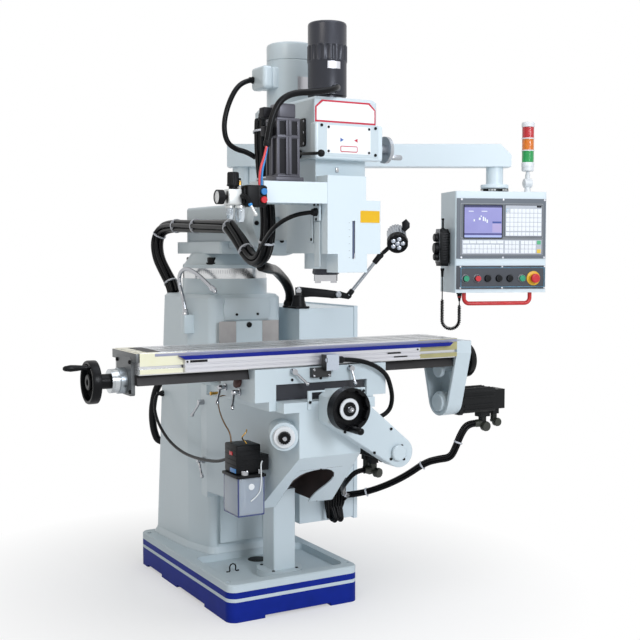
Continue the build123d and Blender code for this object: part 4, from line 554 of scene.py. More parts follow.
def piece(name, finish, body, *shapes, angle=38, place=None, hides=()):
    """Makes an object of shapes in millimetres, with its finish and the body it rides on."""
    bm = bmesh.new()
    for build in shapes:
        build(bm)
    bmesh.ops.recalc_face_normals(bm, faces=bm.faces)
    bmesh.ops.scale(bm, vec=(MM, MM, MM), verts=bm.verts)
    mesh = bpy.data.meshes.new(name)
    bm.to_mesh(mesh)
    bm.free()
    mesh.materials.append(bpy.data.materials[finish])
    mesh.polygons.foreach_set("use_smooth", [True] * len(mesh.polygons))
    mesh.set_sharp_from_angle(angle=math.radians(angle))
    obj = bpy.data.objects.new(name, mesh)
    bpy.context.scene.collection.objects.link(obj)
    if place is not None:
        obj.matrix_world = place
    if body:
        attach(obj, body)
    if hides:
        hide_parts(*hides)
    return obj


# Castings

BRACKET_FACE = 657  # x of the right bracket's inner face


class MILL_OT_castings(bpy.types.Operator):
    """Paints the castings and adds their pads, plugs and screws"""
    bl_idname = "mill.castings"
    bl_label = "Castings"

    def paint(self):
        """Finishes of the solids that stay showing."""
        dress("base_enamel", "base_casting")
        dress("column_enamel", "column_casting")
        dress("graduated_steel", "turret_ring")
        dress("knee_enamel", "knee_casting")
        dress("cast_enamel", "knee_post", "turret_saddle", "ram_casting", "knuckle", "head_casting",
              "drive_housing", "y_belt_cover", "saddle_casting", "right_bracket")
        dress("sheet_enamel", "cabinet_door", "pendant_boom", "z_drive_cover")
        dress("cabinet_enamel", "cabinet_shell")
        dress("ground_steel", "elevating_screw", "y_ball_screw", "x_ball_screw")
        dress("chrome", "knee_clamp", "table_clamp_left", "table_clamp_right")
        dress("apron_rubber", "way_cover")

    def fixings(self, screw):
        """The column's pad and the screws of column, turret, saddle and belt cover."""
        piece("column_pad", "cast_enamel", "frame", front_plate([
            (-104, 1154), (104, 1154), (112, 1196), (104, 1250), (-104, 1250), (-112, 1196)], -40, 9, 5))
        piece("column_screws", "black_abs", "frame",
              screws([(-50, -49, 1178), (50, -49, 1178)], FRONT, screw),
              screws([(0, -67, 1134)], FRONT, 12, 5))
        bolt = [(25, -3), (25, 4), (23, 6), (19, 6, 1.6), (19, 25, 1.6), (16.5, 28), (0, 28)]
        piece("turret_bolts", "black_abs", "turret", *(
            turned((x, y, 1394), UP, bolt, 48, 6) for x in (-114.6, 114.6) for y in (64.4, 293.6)))
        piece("saddle_screws", "black_abs", "saddle",
              screws([(-131, -700, 968), (-8, -700, 968)], FRONT, screw, 2.5))
        cover = ((21, 778), (226, 773), (151, 688), (276, 704), (285, 652), (226, 657))
        piece("belt_cover_screws", "black_abs", "knee",
              screws([(x, -830, z) for x, z in cover], FRONT, screw, 4),
              screws([(-92, -768, 889), (141, -768, 918)], FRONT, screw, 4))

    def studs(self):
        """Lock studs on the saddle's left flank, the knee's lower clamp and small fittings."""
        stud = [(13, -1), (13, 5), (8, 6), (8, 20), (10, 21), (10, 30), (8, 33), (0, 33)]
        lever = [(4.5, 0), (4.5, 52), (7, 56), (8, 62), (6, 69), (0, 70)]
        places = ((-449, 924, -0.3), (-574, 918, -0.45))
        piece("saddle_studs", "chrome", "saddle",
              *(turned((-286, y, z), LEFT, stud, 32) for y, z, aside in places),
              *(turned((-310, y, z), (-0.35, aside, -0.85), lever, 24) for y, z, aside in places))
        piece("knee_lower_clamp", "chrome", "knee",
              turned((-220, -70, 568), LEFT, [(13, -2), (13, 8), (9, 10), (9, 26), (7, 28), (0, 28)], 32),
              turned((-240, -70, 568), (0, -0.5, -0.87), [
                  (5, 0), (5, 60), (7, 62), (8, 70), (6, 77), (0, 79)], 24))
        piece("oil_elbow", "brass", "knee", turned((-232, -205, 868), LEFT, [
            (6, -30), (6, 4, 0.8), (8, 5, 1), (8, 12, 1), (5, 14), (0, 15)], 36, 6))
        piece("table_stop", "primer_brown", "saddle", turned((-292, -566, 958), (0.92, 0, -0.3), [
            (11, -12), (24, -6), (26, 0), (20, 12), (0, 14)], 32))

    def tray(self):
        """A clip on the tray's floor and, over its drain, a black disc of painted shade for the dark hole."""
        bow = ((-28, 2), (-15, 2), (-13, 6), (-14, 20), (-10, 29), (0, 33), (10, 29), (14, 20), (13, 6),
               (15, 2), (28, 2))
        piece("tray_clip", "black_abs", "frame", sleeve([(-156 + x, -223, 120 + z) for x, z in bow], 3))
        # The black disc over the drain stands for the shade in the hole below it: painted shade.
        piece("tray_drain", "servo_lacquer", "frame",
              turned((15, -110, 119.5), UP, [(42, 0), (42, 1), (39, 1.4), (0, 1.2)], 64),
              screws([(x, -340 + y, 148) for x in (-53.7, 53.7) for y in (-53.7, 53.7)], UP, 6.4, 4))

    def bosses(self):
        """The web that rounds the mouth of the knee's hollow, and bosses on cover and bracket."""
        right = [(99, 6), (99, 268), (4, 268), (4, 264), (30, 260), (54, 248), (76, 226), (88, 196),
                 (89, 165), (80, 132), (66, 100), (56, 72), (52, 40), (52, 6)]
        left = [(-99, 268), (-99, 176), (-94, 204), (-78, 236), (-58, 252), (-30, 261), (-4, 264), (-4, 268)]
        lean = (0, -0.747, 0.664)
        piece("knee_web", "cast_enamel", "knee", *(
            plate(outline, (0, -486.78, 443.62), RIGHT, lean, 5) for outline in (right, left)))
        piece("belt_cover_boss", "cast_enamel", "knee", turned((256, -836, 680), FRONT, [
            (30, -1), (30, 9), (27, 12), (0, 12)], 64))
        piece("bracket_bosses", "cast_enamel", "table",
              turned((BRACKET_FACE, -552, 812), LEFT, [
                  (46, -2), (46, 3), (38, 5), (38, 15), (36, 17), (0, 17)], 64),
              turned((BRACKET_FACE, -552, 952), LEFT, [(34, -2), (34, 11), (31, 15), (0, 15)], 48))

    def coolant(self):
        """An enamelled valve block, a chromed pipe bent over the column's shoulder and its nozzle."""
        piece("coolant_block", "cast_enamel", "frame", slab((-240, 74, 1094), (-190, 112, 1175), 3))
        line = followed(route("coolant_line", [
            (-226, 94, 1175), (-228, 100, 1230), (-238, 130, 1300), (-240, 128, 1352), (-230, 80, 1378),
            (-210, 10, 1356), (-194, -60, 1318), (-184, -105, 1290)]))
        tip = (line[-1] - line[-4]).normalized()
        piece("coolant_tube", "chrome", "frame", sleeve(line, 8.5, 20),
              turned((-226, 94, 1172), UP, [(14, 0), (14, 12, 1.5), (11, 14), (11, 26), (9, 28)], 36, 6),
              turned(line[-1], tip, [
                  (8.5, -14), (13, -12, 1.4), (13, 6, 1.4), (9, 8), (8, 20), (5, 26), (0, 26)], 36, 6),
              hides=("coolant_pipe",))

    def execute(self, context):
        self.paint()
        self.fixings(context.scene.mill_sizes.screw / MM)
        self.studs()
        self.tray()
        self.bosses()
        self.coolant()
        return {"FINISHED"}


# Table, dials and hand wheels

CROSS_WHEEL = (0, -896, 873)  # middle of the cross feed wheel's hub


class MILL_OT_table(bpy.types.Operator):
    """Finishes the table, its rail, strip, dials and wheels"""
    bl_idname = "mill.table"
    bl_label = "Table and wheels"

    def rail(self):
        """The dog rail with its blue strip and dogs."""
        # The rail's section, from its foot up, with two undercut grooves in front.
        section = [(-679, 1020), (-697, 1020), (-697, 1029), (-693, 1030), (-693, 1034), (-697, 1035),
                   (-697, 1044), (-692, 1045), (-692, 1051), (-697, 1052), (-697, 1064), (-679, 1064)]
        piece("dog_rail_section", "anodised_rail", "table",
              plate(section, (-558, 0, 0), BACK, UP, 1011), angle=20)
        piece("table_strip", "strip_enamel", "table",
              front_plate([(-579, 1078), (-556, 1064), (600, 1064), (617, 1078)], -679, 20, 1),
              hides=("dog_rail",))
        piece("rail_dogs", "black_abs", "table",
              slab((-540, -697.6, 1053), (-472, -695, 1062), 1),
              screws([(-550, -697, 1057), (440, -697, 1057)], FRONT, 4, 2),
              slab((300, -697.8, 1045), (360, -693, 1050), 1),
              slab((330, -697.8, 1030), (392, -693, 1034), 1))

    def ends(self, screw):
        """The end bearing's screws and plate, the film on the table's edge with its violet painted
        reflection, and a dark sheet of painted shade for the trough in its top.
        """
        piece("bearing_screws", "black_abs", "table",
              screws([(-735, y, z) for y in (-618, -486) for z in (1058, 952)], LEFT, screw * 1.3, 5))
        # The violet band on the table's edge is a painted reflection.
        piece("table_film_reflection", "violet_film_reflection", "table", slab((-665, -679.9, 1079), (648, -678.5, 1089), 0.4))
        piece("table_end_plate", "bearing_iron", "table", slab((-734, -677, 1060), (-721.4, -427, 1092), 2))
        # A dark sheet lying on the top stands for the trough's inside: painted shade, no recess is cut.
        piece("table_trough_shade", "servo_lacquer", "table", slab((-684, -650, 1092.6), (-632, -454, 1093.4)))
        piece("switch_screws", "chrome", "saddle",
              screws([(x, -722, z) for x in (-48, 18) for z in (980, 1003)], FRONT, 4.5, 2))

    def wheels(self):
        """The hand wheels of the long and the cross feed."""
        left = [(27, 0), (27, 46), (70, 47), (77, 49), (77.5, 52), (77.5, 76), (75, 81), (70, 82), (66, 80),
                (63, 60), (40, 57), (28, 60), (28, 76), (25, 79), (12, 79), (12, 74), (0, 74)]
        right = [(30, 0), (30, 44), (70, 44), (74, 47), (74, 70), (71, 74), (65, 74), (61, 58), (32, 56),
                 (30, 76), (26, 78), (12, 78), (12, 74), (0, 74)]
        piece("long_wheels", "phenolic", "x_screw",
              turned((-790.3, *LONG_SCREW), LEFT, left, 96),
              turned((722.5, *LONG_SCREW), RIGHT, right, 96), hides=("x_handwheels",))
        piece("long_wheel_handle", "phenolic", "x_screw", turned((-862, -590, 1044), LEFT, [
            (6, -14), (6, 18), (9, 20), (8, 30), (11, 60), (12, 78), (9, 98), (5, 104), (0, 105)], 32))
        piece("cross_dial", "white_abs", "y_screw", turned(CROSS_WHEEL, FRONT, [
            (26, -2), (40, -2), (40, 2), (38.5, 3.5), (27.5, 3.5), (26, 2)], 64))
        piece("cross_hub", "phenolic", "y_screw", turned(CROSS_WHEEL, FRONT, [
            (26, -2), (26, 6), (23, 9), (11, 9), (10, 8), (0, 8)], 48))
        piece("cross_nut", "chrome", "y_screw", turned((0, -903, 873), FRONT, [
            (10, 0), (10, 12), (8, 15), (4, 15.5), (0, 13)], 32))

    def crank(self):
        """The knee's crank dial, which stands square to the knee's cut corner."""
        out = -Vector((167, 360, 0)).normalized()
        spot = Vector((-167, -700, 763)) + out * 40.6
        piece("crank_dial", "white_abs", "crank_shaft",
              turned(spot, out, [(41, 0), (41, 12), (38, 16), (27, 16.5), (0, 16.5)], 64))
        piece("crank_knob", "phenolic", "crank_shaft",
              turned(spot, out, [(24, 14), (24, 30, 2.5), (22, 34, 2.5), (11, 34), (0, 33)], 96, 16),
              hides=("crank_shaft",))
        piece("crank_tip", "chrome", "crank_shaft",
              turned(spot, out, [(9, 30), (9, 46), (7, 49), (0, 49.5)], 32))

    def execute(self, context):
        dress("ground_iron", "table_plate")
        dress("bearing_iron", "left_bracket")
        dress("phenolic", "x_handwheels", "y_handwheel")
        dress("switch_metal", "limit_switch")
        self.rail()
        self.ends(context.scene.mill_sizes.screw / MM)
        self.wheels()
        self.crank()
        return {"FINISHED"}


# Head

MOTOR = -450  # y of the spindle motor's axis
DRAWBAR = -735  # y of the drawbar cylinder's axis


class MILL_OT_head(bpy.types.Operator):
    """Finishes the head: motor, drawbar housing, servo, plates, quill and spindle"""
    bl_idname = "mill.head"
    bl_label = "Head"

    def motor(self):
        """The spindle motor with its terminal box and bent plate."""
        piece("motor_shell", "cast_enamel", "head", turned((0, MOTOR, 2000), UP, [
            (97, 0), (97, 12), (95, 14), (95, 184), (93, 185), (93, 187), (95, 188), (95, 243), (92, 250),
            (84, 254), (60, 255), (0, 255)], 96), hides=("spindle_motor",))
        piece("terminal_box", "cast_enamel", "head",
              slab((-148, -505, 2072), (-104, -395, 2160), 14, 5),
              slab((-106, -500, 2076), (-70, -400, 2156), 6))
        radius, inner = 95.6, 94.166
        piece("motor_plate", "anodised_rail", "head",
              flat_plate(curved(MOTOR, radius, -12, 21, inner), 2058, 62))
        piece("motor_plate_edge", "strip_enamel", "head",
              flat_plate(curved(MOTOR, radius * 1.004, -12, 21, inner), 2058, 9))

    def drawbar(self):
        """The drawbar cylinder with its fluted band and plate, the gear box's front and the speed grip."""
        piece("drawbar_housing", "anodised_black", "head",
              turned((0, DRAWBAR, 2000), UP, [
                  (62, 0), (62, 17), (70, 18), (72, 20), (72, 140), (73, 142), (74, 145, 0.5), (74, 149, 6),
                  (74, 196, 6), (74, 202, 0.5), (72, 205), (72, 278), (70, 284), (66, 287), (0, 287),
              ], 144, 18),
              turned((2, -785, 2042), (-0.3, -0.95, 0), [(16, 0), (16, 30), (14, 34), (0, 34)], 32),
              hides=("drawbar_cylinder",))
        piece("drawbar_flange", "ground_steel", "head",
              turned((0, DRAWBAR, 1999), UP, [(84, 0), (84, 7), (82, 9), (60, 9)], 96),
              slab((-22, -837, 1734), (-10, -830, 1752), 2))
        piece("gear_front", "sheet_enamel", "head",
              slab((-137, -889.6, 1776), (147, -846, 1906), 9, 4),
              flat_plate([(-339, -880.1), (-90, -911.8), (-89, -880.1)], 1616.5, 75))
        radius, inner = 72.7, 71.6095
        piece("drawbar_plate", "anodised_rail", "head",
              flat_plate(curved(DRAWBAR, radius, -29, 12, inner), 2113, 26))
        piece("speed_grip", "anodised_silver", "speed_wheel", turned((220, -829, 1799), RIGHT, [
            (7, 0), (8, 3), (10, 8), (10, 44), (8, 48), (0, 49)], 32))

    def ribs(self, screw):
        """A rib, the gland's block and their screws on the head's left face; the swivel flange's bolts."""
        piece("head_ribs", "cast_enamel", "head",
              slab((-110, -822, 1478), (-104, -800, 1580), 4),
              slab((-113, -873, 1556), (-104, -832, 1624), 3),
              slab((-108, -868, 1392), (-104, -826, 1554), 2))
        piece("head_rib_screws", "black_abs", "head", screws([
            (-110, -811, 1490), (-113, -852, 1562), (-113, -866, 1616), (-113, -839, 1616)], LEFT, screw, 3))
        flange = ((-40, 1611), (9, 1581), (-3, 1491), (-108, 1640), (-116, 1560))
        piece("swivel_bolts", "black_abs", "knuckle",
              screws([(x, -375, z) for x, z in flange], FRONT, 9, 6))

    def servo(self):
        """The feed servo: two ribbed stages between lids, with dark channels and plugs."""
        stages = ((1716, 1848), (1852, 1906))
        posts = ((-274, -865), (-240, -868), (-228, -868), (-194, -865), (-274, -785), (-194, -785),
                 (-277, -831), (-277, -819), (-191, -831), (-191, -819))
        piece("z_servo_body", "servo_bronze", "head",
              slab((-289, -880, 1692), (-179, -770, 1708), 3),
              slab((-279, -870, 1708), (-189, -780, 1716), 2),
              *(slab((-275, -866, low), (-193, -784, high), 2) for low, high in stages),
              *(slab((x - 5, y - 4, low), (x + 5, y + 4, high), 1) for low, high in stages for x, y in posts),
              *(slab((-279, -870, low), (-189, -780, low + 10), 2) for low in (1844, 1904)),
              slab((-269, -860, 1912), (-199, -790, 1966), 8), hides=("z_servo",))
        gaps, wide = ((1720, 1842), (1856, 1902)), 24
        piece("z_servo_channels", "servo_channel", "head",
              *(slab((x, -867.2, low), (x + wide, -864, high), 0.8)
                for low, high in gaps for x in (-269, -223)),
              *(slab((-276.2, y, low), (-273, y + wide, high), 0.8)
                for low, high in gaps for y in (-860, -814)),
              slab((-319, -843, 1915), (-269, -807, 1950), 4),
              slab((-314, -841, 1850), (-277, -809, 1885), 4))

    def plates(self, screw):
        """The blank sign plates on the belt housing and the screws round them."""
        rim = [(-127, 1908), (127, 1908), (127, 1962), (100, 1987), (-100, 1987), (-127, 1962)]
        field = [(x * 0.955, 1947.5 + (z - 1947.5) * 0.84) for x, z in rim]
        for name, finish, *shapes in (
                ("upper_plate_rim", "plate_red", front_plate(rim, -868, 1.2)),
                ("upper_plate", "plate_white", front_plate(field, -869, 0.8)),
                ("lower_plate", "plate_white", front_plate(rounded(-92, 1797, 92, 1896, 3), -890, 1.2)),
                ("lower_plate_rim", "plate_red", front_plate(rounded(-36, 1803, 36, 1825, 5), -891, 0.6),
                 front_plate([(22, 1846), (36, 1839), (36, 1853)], -891, 0.7)),
                ("lower_plate_field", "plate_white",
                 front_plate(rounded(-33, 1806, 33, 1822, 3), -891.4, 0.6)),
                ("lower_plate_mark", "plate_blue",
                 front_plate([(-36, 1839), (-22, 1846), (-36, 1853)], -891, 0.7))):
            piece(name, finish, "head", *shapes)
        piece("housing_screws", "black_abs", "head",
              screws([(x, -891, z) for x in (-85, 85) for z in (1804, 1889)], FRONT, 4.6, 2.4),
              screws([(x, -890, z) for x in (-113, 113) for z in (1797, 1894)], FRONT, screw, 3),
              plate(rounded(750, 1826, 806, 1926, 8), (-130, 0, 0), FRONT, UP, 4, 1))
        piece("wall_plate_studs", "chrome", "head",
              screws([(-134, y, z) for y in (-758, -798) for z in (1836, 1876, 1916)], LEFT, 3.6, 2))

    def quill(self):
        """The depth slot with its marks, the yellow plate and the quill's collar."""
        # The blue grey plate in the depth slot: the steel rod in it, darkened with painted shade of the
        # slot's pocket.
        piece("depth_slot", "slot_shade_blue", "head", front_plate(rounded(3, 1421, 13, 1556, 5), -905, 3))
        piece("depth_marks", "grey_abs", "head", *(
            slab((-13, -912.5, 1424.3 + 25 * mark), (-8, -911.5, 1425.5 + 25 * mark)) for mark in range(6)))
        piece("yellow_plate", "plate_yellow", "head", front_plate(rounded(36, 1551, 118, 1594, 3), -912, 1))
        piece("quill_collar", "anodised_black", "quill", turned((0, -725, 1362), DOWN, [
            (49.5, -14), (50.5, -13), (50.5, -3), (46, 0), (45, 2)], 64))

    def execute(self, context):
        dress("anodised_silver", "speed_wheel")
        dress("black_abs", "range_lever")
        dress("anodised_black", "quill")
        dress("ground_steel", "spindle")
        screw = context.scene.mill_sizes.screw / MM
        self.motor()
        self.drawbar()
        self.ribs(screw)
        self.servo()
        self.plates(screw)
        self.quill()
        return {"FINISHED"}


# Air unit


class MILL_OT_air(bpy.types.Operator):
    """Makes the air unit: valve box, regulator, gauge, bowls and lever tube"""
    bl_idname = "mill.air"
    bl_label = "Air unit"

    def execute(self, context):
        dress("blue_button", "clamp_button")
        dress("red_button", "release_button")
        gauge = (-474, -860, 1632)
        piece("valve_box", "black_abs", "head",
              slab((-412, -905, 1600), (-340, -845, 1674), 4),
              slab((-372, -907, 1604), (-338, -903, 1670), 2),
              slab((-420, -893, 1612), (-408, -857, 1664), 3),
              turned((-445, -860, 1660), UP, [
                  (15, 0), (15, 9), (22, 11), (22, 15), (20.5, 16), (20.5, 20, 1.6), (20, 54, 1.6), (17, 58),
                  (0, 58.5)], 80, 20),
              turned(gauge, LEFT, [(9, 0), (9, 10), (25, 11), (25, 33), (23, 34.5), (22, 30)], 48),
              turned((-420, -860, 1690), UP, [(4, 0), (5, 1), (5, 8), (0, 9)], 24), hides=("air_unit",))
        piece("gauge_face", "plate_white", "head",
              turned(gauge, LEFT, [(22, 29), (22, 30.5), (0, 31)], 48))
        small, large = (-458, -860), (-424, -868)
        lever, droop = (-407, -912, 1610), (0.5, -0.05, -0.86)
        piece("regulator", "die_cast", "head",
              slab((-474, -886, 1604), (-420, -836, 1660), 7, 4),
              turned((*small, 1604), DOWN, [(15, 0), (15, 8), (13, 10)], 32),
              turned((*large, 1604), DOWN, [(20, 0), (20, 8), (18, 10)], 40),
              turned((-420, -860, 1656), UP, [(9, 0, 1.2), (9, 14, 1.2), (6, 16), (5, 34), (0, 34)], 24, 6),
              turned(lever, droop, [(5.5, 0), (5.5, 34), (7, 37), (8, 44), (6, 48), (0, 49)], 24))
        piece("lever_ring", "nylon_blue", "head",
              turned(lever, droop, [(6.2, -2), (6.8, 0), (6.8, 6), (6.2, 8)], 24))
        piece("lever_elbow", "black_abs", "head",
              turned((-424, -884, 1637), (0.3, -0.9, -0.2), [
                  (8, 0), (9, 2), (9, 20), (7, 22), (7, 30), (0, 31)], 24),
              turned((-415, -911, 1629), (0.4, -0.05, -0.9), [
                  (0, -8), (8, -6), (8, 10), (6.5, 12), (6.5, 20)], 24))
        piece("filter_bowls", "clear_bowl", "head",
              turned((*small, 1596), DOWN, [(12, 0), (13, 4), (13, 34), (10, 39), (0, 40)], 32),
              turned((*large, 1596), DOWN, [(16, 0), (17.5, 6), (17.5, 42), (14, 48), (7, 50), (0, 50)], 40))
        piece("filter_cores", "white_abs", "head",
              turned((*small, 1596), DOWN, [(7, 0), (7, 20), (4, 24), (0, 24)], 24),
              turned((*large, 1596), DOWN, [(3, 0), (3, 36), (0, 36)], 16))
        piece("sight_fitting", "brass", "head",
              turned((-420, -860, 1674), UP, [(6, 0), (6, 14), (4, 17), (0, 17)], 24))
        return {"FINISHED"}


# Pendant

PENDANT = Matrix.Translation((1.0198, -0.4502, 0.0)) @ Matrix.Rotation(math.radians(-17.7), 4, "Z")
PANEL = PENDANT @ Matrix.Translation((-0.007, 0.0, -0.003))
PANEL_FACE = -104  # y of the panels' face, square to the pendant
BUTTON_ROW = 1331  # z of the push buttons
SIGNAL = (164, 20)  # x and y of the signal light's post, square to the pendant


def hung(name, finish, *shapes, place=PENDANT, hides=()):
    """A piece of the pendant, drawn square to the pendant's own front."""
    piece(name, finish, "pendant", *shapes, place=place, hides=hides)


class MILL_OT_pendant(bpy.types.Operator):
    """Finishes the pendant: screen, keys, switches, signal light and handset"""
    bl_idname = "mill.pendant"
    bl_label = "Pendant"

    def screen(self):
        """The fields of the panel, the screen and what it shows."""
        hung("panel_fields", "grey_abs",
             front_plate(rounded(-186, 1508, 193, 1658, 4), PANEL_FACE, 1.2),
             front_plate(rounded(-186, 1434, 193, 1506, 4), PANEL_FACE, 1.2), place=PANEL)
        hung("panel_inlays", "panel_foil",
             front_plate(rounded(-183, 1511, 190, 1655, 3), -104.8, 0.8),
             front_plate(rounded(-183, 1437, 190, 1503, 3), -104.8, 0.8), place=PANEL)
        hung("screen_bezel", "black_abs",
             front_plate(rounded(-173, 1506, 5, 1652, 2), -105.4, 1.5, 0.7),
             front_plate(rounded(16, 1514, 189, 1652, 2), -105.4, 0.6), place=PANEL)
        hung("screen", "screen_glass", front_plate(rounded(-169, 1511, 1, 1649, 1), -106.5, 0.8), place=PANEL)
        hung("key_foils", "key_grey",
             front_plate(rounded(18, 1516, 187, 1650, 1), -105.8, 0.6),
             front_plate(rounded(-180, 1439, 187, 1501, 1), -105.4, 0.6), place=PANEL)
        marks = ((-104, 1586, 8, 10), (-96, 1600, 5, 5), (-86, 1582, 6, 18), (-77, 1580, 5, 16),
                 (-69, 1574, 6, 14), (-128, 1580, 6, 9), (-150, 1622, 22, 3), (-92, 1622, 26, 3))
        hung("screen_marks", "key_white", *(
            slab((x, -107.6, z), (x + wide, -107, z + tall)) for x, z, wide, tall in marks), place=PANEL)

    def keys(self, gap):
        """Blocks of raised keys, each between two corners of the face."""
        for name, finish, low, high, columns, rows, space in (
                ("page_keys", "key_white", (20, 1538), (185, 1636), 9, 5, gap),
                ("row_keys", "key_white", (20, 1518), (185, 1535), 9, 1, gap),
                ("wide_keys", "key_white", (-176, 1484), (10, 1499), 6, 1, gap),
                ("axis_keys", "key_white", (-176, 1442), (10, 1481), 10, 2, gap),
                ("jog_keys", "key_white", (15, 1442), (82, 1498), 4, 3, gap),
                ("rate_keys", "key_white", (89, 1442), (160, 1498), 4, 3, gap),
                ("light_key", "key_blue", (20, 1618), (37, 1636), 1, 1, gap * 0.6),
                ("run_key", "key_green", (164, 1480), (184, 1499), 1, 1, gap),
                ("hold_key", "key_yellow", (164, 1442), (184, 1461), 1, 1, gap)):
            wide, tall = (high[0] - low[0]) / columns, (high[1] - low[1]) / rows
            spots = [(low[0] + column * wide + space / 2, low[1] + row * tall + space / 2)
                     for column in range(columns) for row in range(rows)]
            hung(name, finish, *(
                slab((x, -107.3, z), (x + wide - space, -105, z + tall - space), 0.7, 1) for x, z in spots),
                place=PANEL)
        hung("panel_socket", "black_abs", front_plate(rounded(162, 1641, 185, 1649, 3), -106, 1), place=PANEL)

    def switches(self):
        """The switch panel's border, screws, rings and buttons."""
        outline = rounded(-190, 1293, 195, 1378, 3)
        inner = [(2 + (x - 2) * 0.989, 1335.5 + (z - 1335.5) * 0.953) for x, z in outline]
        hung("switch_border", "key_blue", border(outline, inner, -104.6, 0.8))
        spots = [(x, z, 4.5, 3, 2.4) for x in (-188, 2, 193) for z in (1671, 1421)]
        spots += [(x, z, 4, 2.6, 2.2) for x in (-192, -1, 196) for z in (1381.5, 1289.5)]
        ring = [(17.5, 0), (17.5, 4), (15.5, 8), (15.2, 7), (15.2, 0)]
        hung("panel_rings", "anodised_rail",
             *(turned((x, PANEL_FACE, z), FRONT, [(wide, 0), (wide, 1), (flat, high), (0, high + 0.2)], 24)
               for x, z, wide, flat, high in spots),
             *(turned((x, PANEL_FACE, BUTTON_ROW), FRONT, ring, 40) for x in (-169, -116, 90)))
        knob = [(15.6, 0), (15.6, 5), (14, 8), (12.5, 8), (12.4, 12), (0, 12.4)]
        hung("spare_buttons", "black_abs", *(
            turned((x, PANEL_FACE, BUTTON_ROW), FRONT, knob, 40) for x in (-67, -15.5, 34.5)))
        hung("spare_green", "green_button", turned((90, PANEL_FACE, BUTTON_ROW), FRONT, [
            (13.6, 4), (13.6, 12), (12, 13.4), (0, 13.8)], 40))
        hung("stop_ring", "yellow_ring", turned((143.5, PANEL_FACE, BUTTON_ROW), FRONT, [
            (31, 0), (31, 3), (29, 4.2), (18, 4.2), (17.6, 13), (16, 13)], 48))

    def swivel(self):
        """The black ring on the pendant's top, its locks and the boom's collar."""
        hung("swivel_ring", "black_abs", turned((0, 0, 1707), UP, [
            (62, 0), (62, 3), (61, 4), (61, 15), (60, 16), (0, 16)], 64))
        locks = []
        radius, inner, wide = 61.6, 0.97, 9
        for angle in range(-150, 180, 60):
            for edge in (-16, -5, 6):
                turns = [math.radians(angle + edge + step) for step in (0, wide / 2, wide)]
                front = [(radius * math.sin(turn), -radius * math.cos(turn)) for turn in turns]
                back = [(x * inner, y * inner) for x, y in reversed(front)]
                locks.append(flat_plate(front + back, 1712.5, 7))
        hung("swivel_locks", "die_cast", *locks)
        piece("swivel_collar", "sheet_enamel", "boom", turned((1019.8, -450.2, 1726), UP, [
            (38, 0), (61, 0), (61, 12), (59, 15), (40, 16), (38, 20)], 64))

    def signal(self):
        """The signal light: post, joint, rings, cap and three ribbed lenses."""
        hung("signal_post", "white_abs",
             flat_plate(rounded(132, -12, 196, 52, 12), 1707, 6, 2),
             turned((*SIGNAL, 1713), UP, [(15, 0), (13, 14), (12, 30)], 32),
             turned((146, 20, 1752), RIGHT, [
                 (17, 0), (20, 2), (20, 17), (21, 18), (21, 34), (18, 36), (0, 36)], 48),
             turned((*SIGNAL, 1765), UP, [(11, 0), (11, 26), (8, 28), (8, 39)], 32),
             turned((*SIGNAL, 1804), UP, [
                 (22, 0), (27, 3), (27, 20), (28, 21), (28, 36), (26, 40), (0, 40)], 64),
             *(turned((*SIGNAL, level), UP, [(26, 0), (28.5, 1.2), (28.5, 4.8), (26, 6)], 64)
               for level in (1893, 1946)),
             turned((*SIGNAL, 1999), UP, [(26, 0), (29, 2), (29, 17), (26, 22), (0, 23)], 64),
             hides=("stack_light",))
        rows, pitch = [(26, 0)], 3.06
        for rib in range(16):
            rows += [(26.6, 1 + rib * pitch, 0.5), (26.2, 2.6 + rib * pitch, 0.5)]
        rows += [(26, 51), (0, 51)]
        for level, name in ((1844, "lens_green"), (1897, "lens_amber"), (1950, "lens_red")):
            hung("signal_" + name, name, turned((*SIGNAL, level), UP, rows, 96, 24))

    def handset(self):
        """The handset on the pendant's left side: body, ribs, knobs, face and the glands of its cord."""
        hung("handset_body", "black_abs",
             plate(rounded(-34, 1384, 44, 1546, 14), (-225, 0, 0), FRONT, UP, 35, 6),
             slab((-228, -30, 1400), (-214, 20, 1530), 3),
             turned((-238, -2, 1540), UP, [(9, 0), (9, 8), (4, 12), (4, 44), (6, 46), (6, 52), (0, 53)], 20),
             hides=("handset",))
        hung("handset_grip", "phenolic",
             *(slab((-254, -44.5, low), (-225, -41, low + 6), 1) for low in range(1408, 1540, 11)),
             *(turned((-261, -5, level), LEFT, [
                 (wide + 4, 0), (wide + 4, 3), (wide, 4), (wide, 17, 1.5), (wide - 3, 20, 1.5), (0, 20),
             ], 60, 15) for level, wide in ((1508, 18), (1462, 24), (1424, 16))))
        hung("handset_face", "grey_abs",
             plate(rounded(-24, 1402, 34, 1546, 6), (-261, 0, 0), FRONT, UP, 0.8))
        hung("handset_glands", "black_abs",
             turned((-240, -5, 1366), DOWN, [(8.5, -8), (8.5, 0), (6.5, 4), (4.5, 30), (0, 30)], 24),
             turned((-166, -20, 1269), DOWN, [
                 (13, 0), (13, 9, 1.6), (10, 10), (10, 17, 1.2), (7, 24), (4, 40), (0, 40)], 36, 6))

    def execute(self, context):
        dress("pendant_enamel", "pendant_box")
        dress("panel_foil", "control_panel")
        dress("green_button", "start_button")
        dress("red_button", "stop_button", "emergency_stop")
        self.screen()
        self.keys(context.scene.mill_sizes.key / MM)
        self.switches()
        self.swivel()
        self.signal()
        self.handset()
        return {"FINISHED"}


# Working lamp


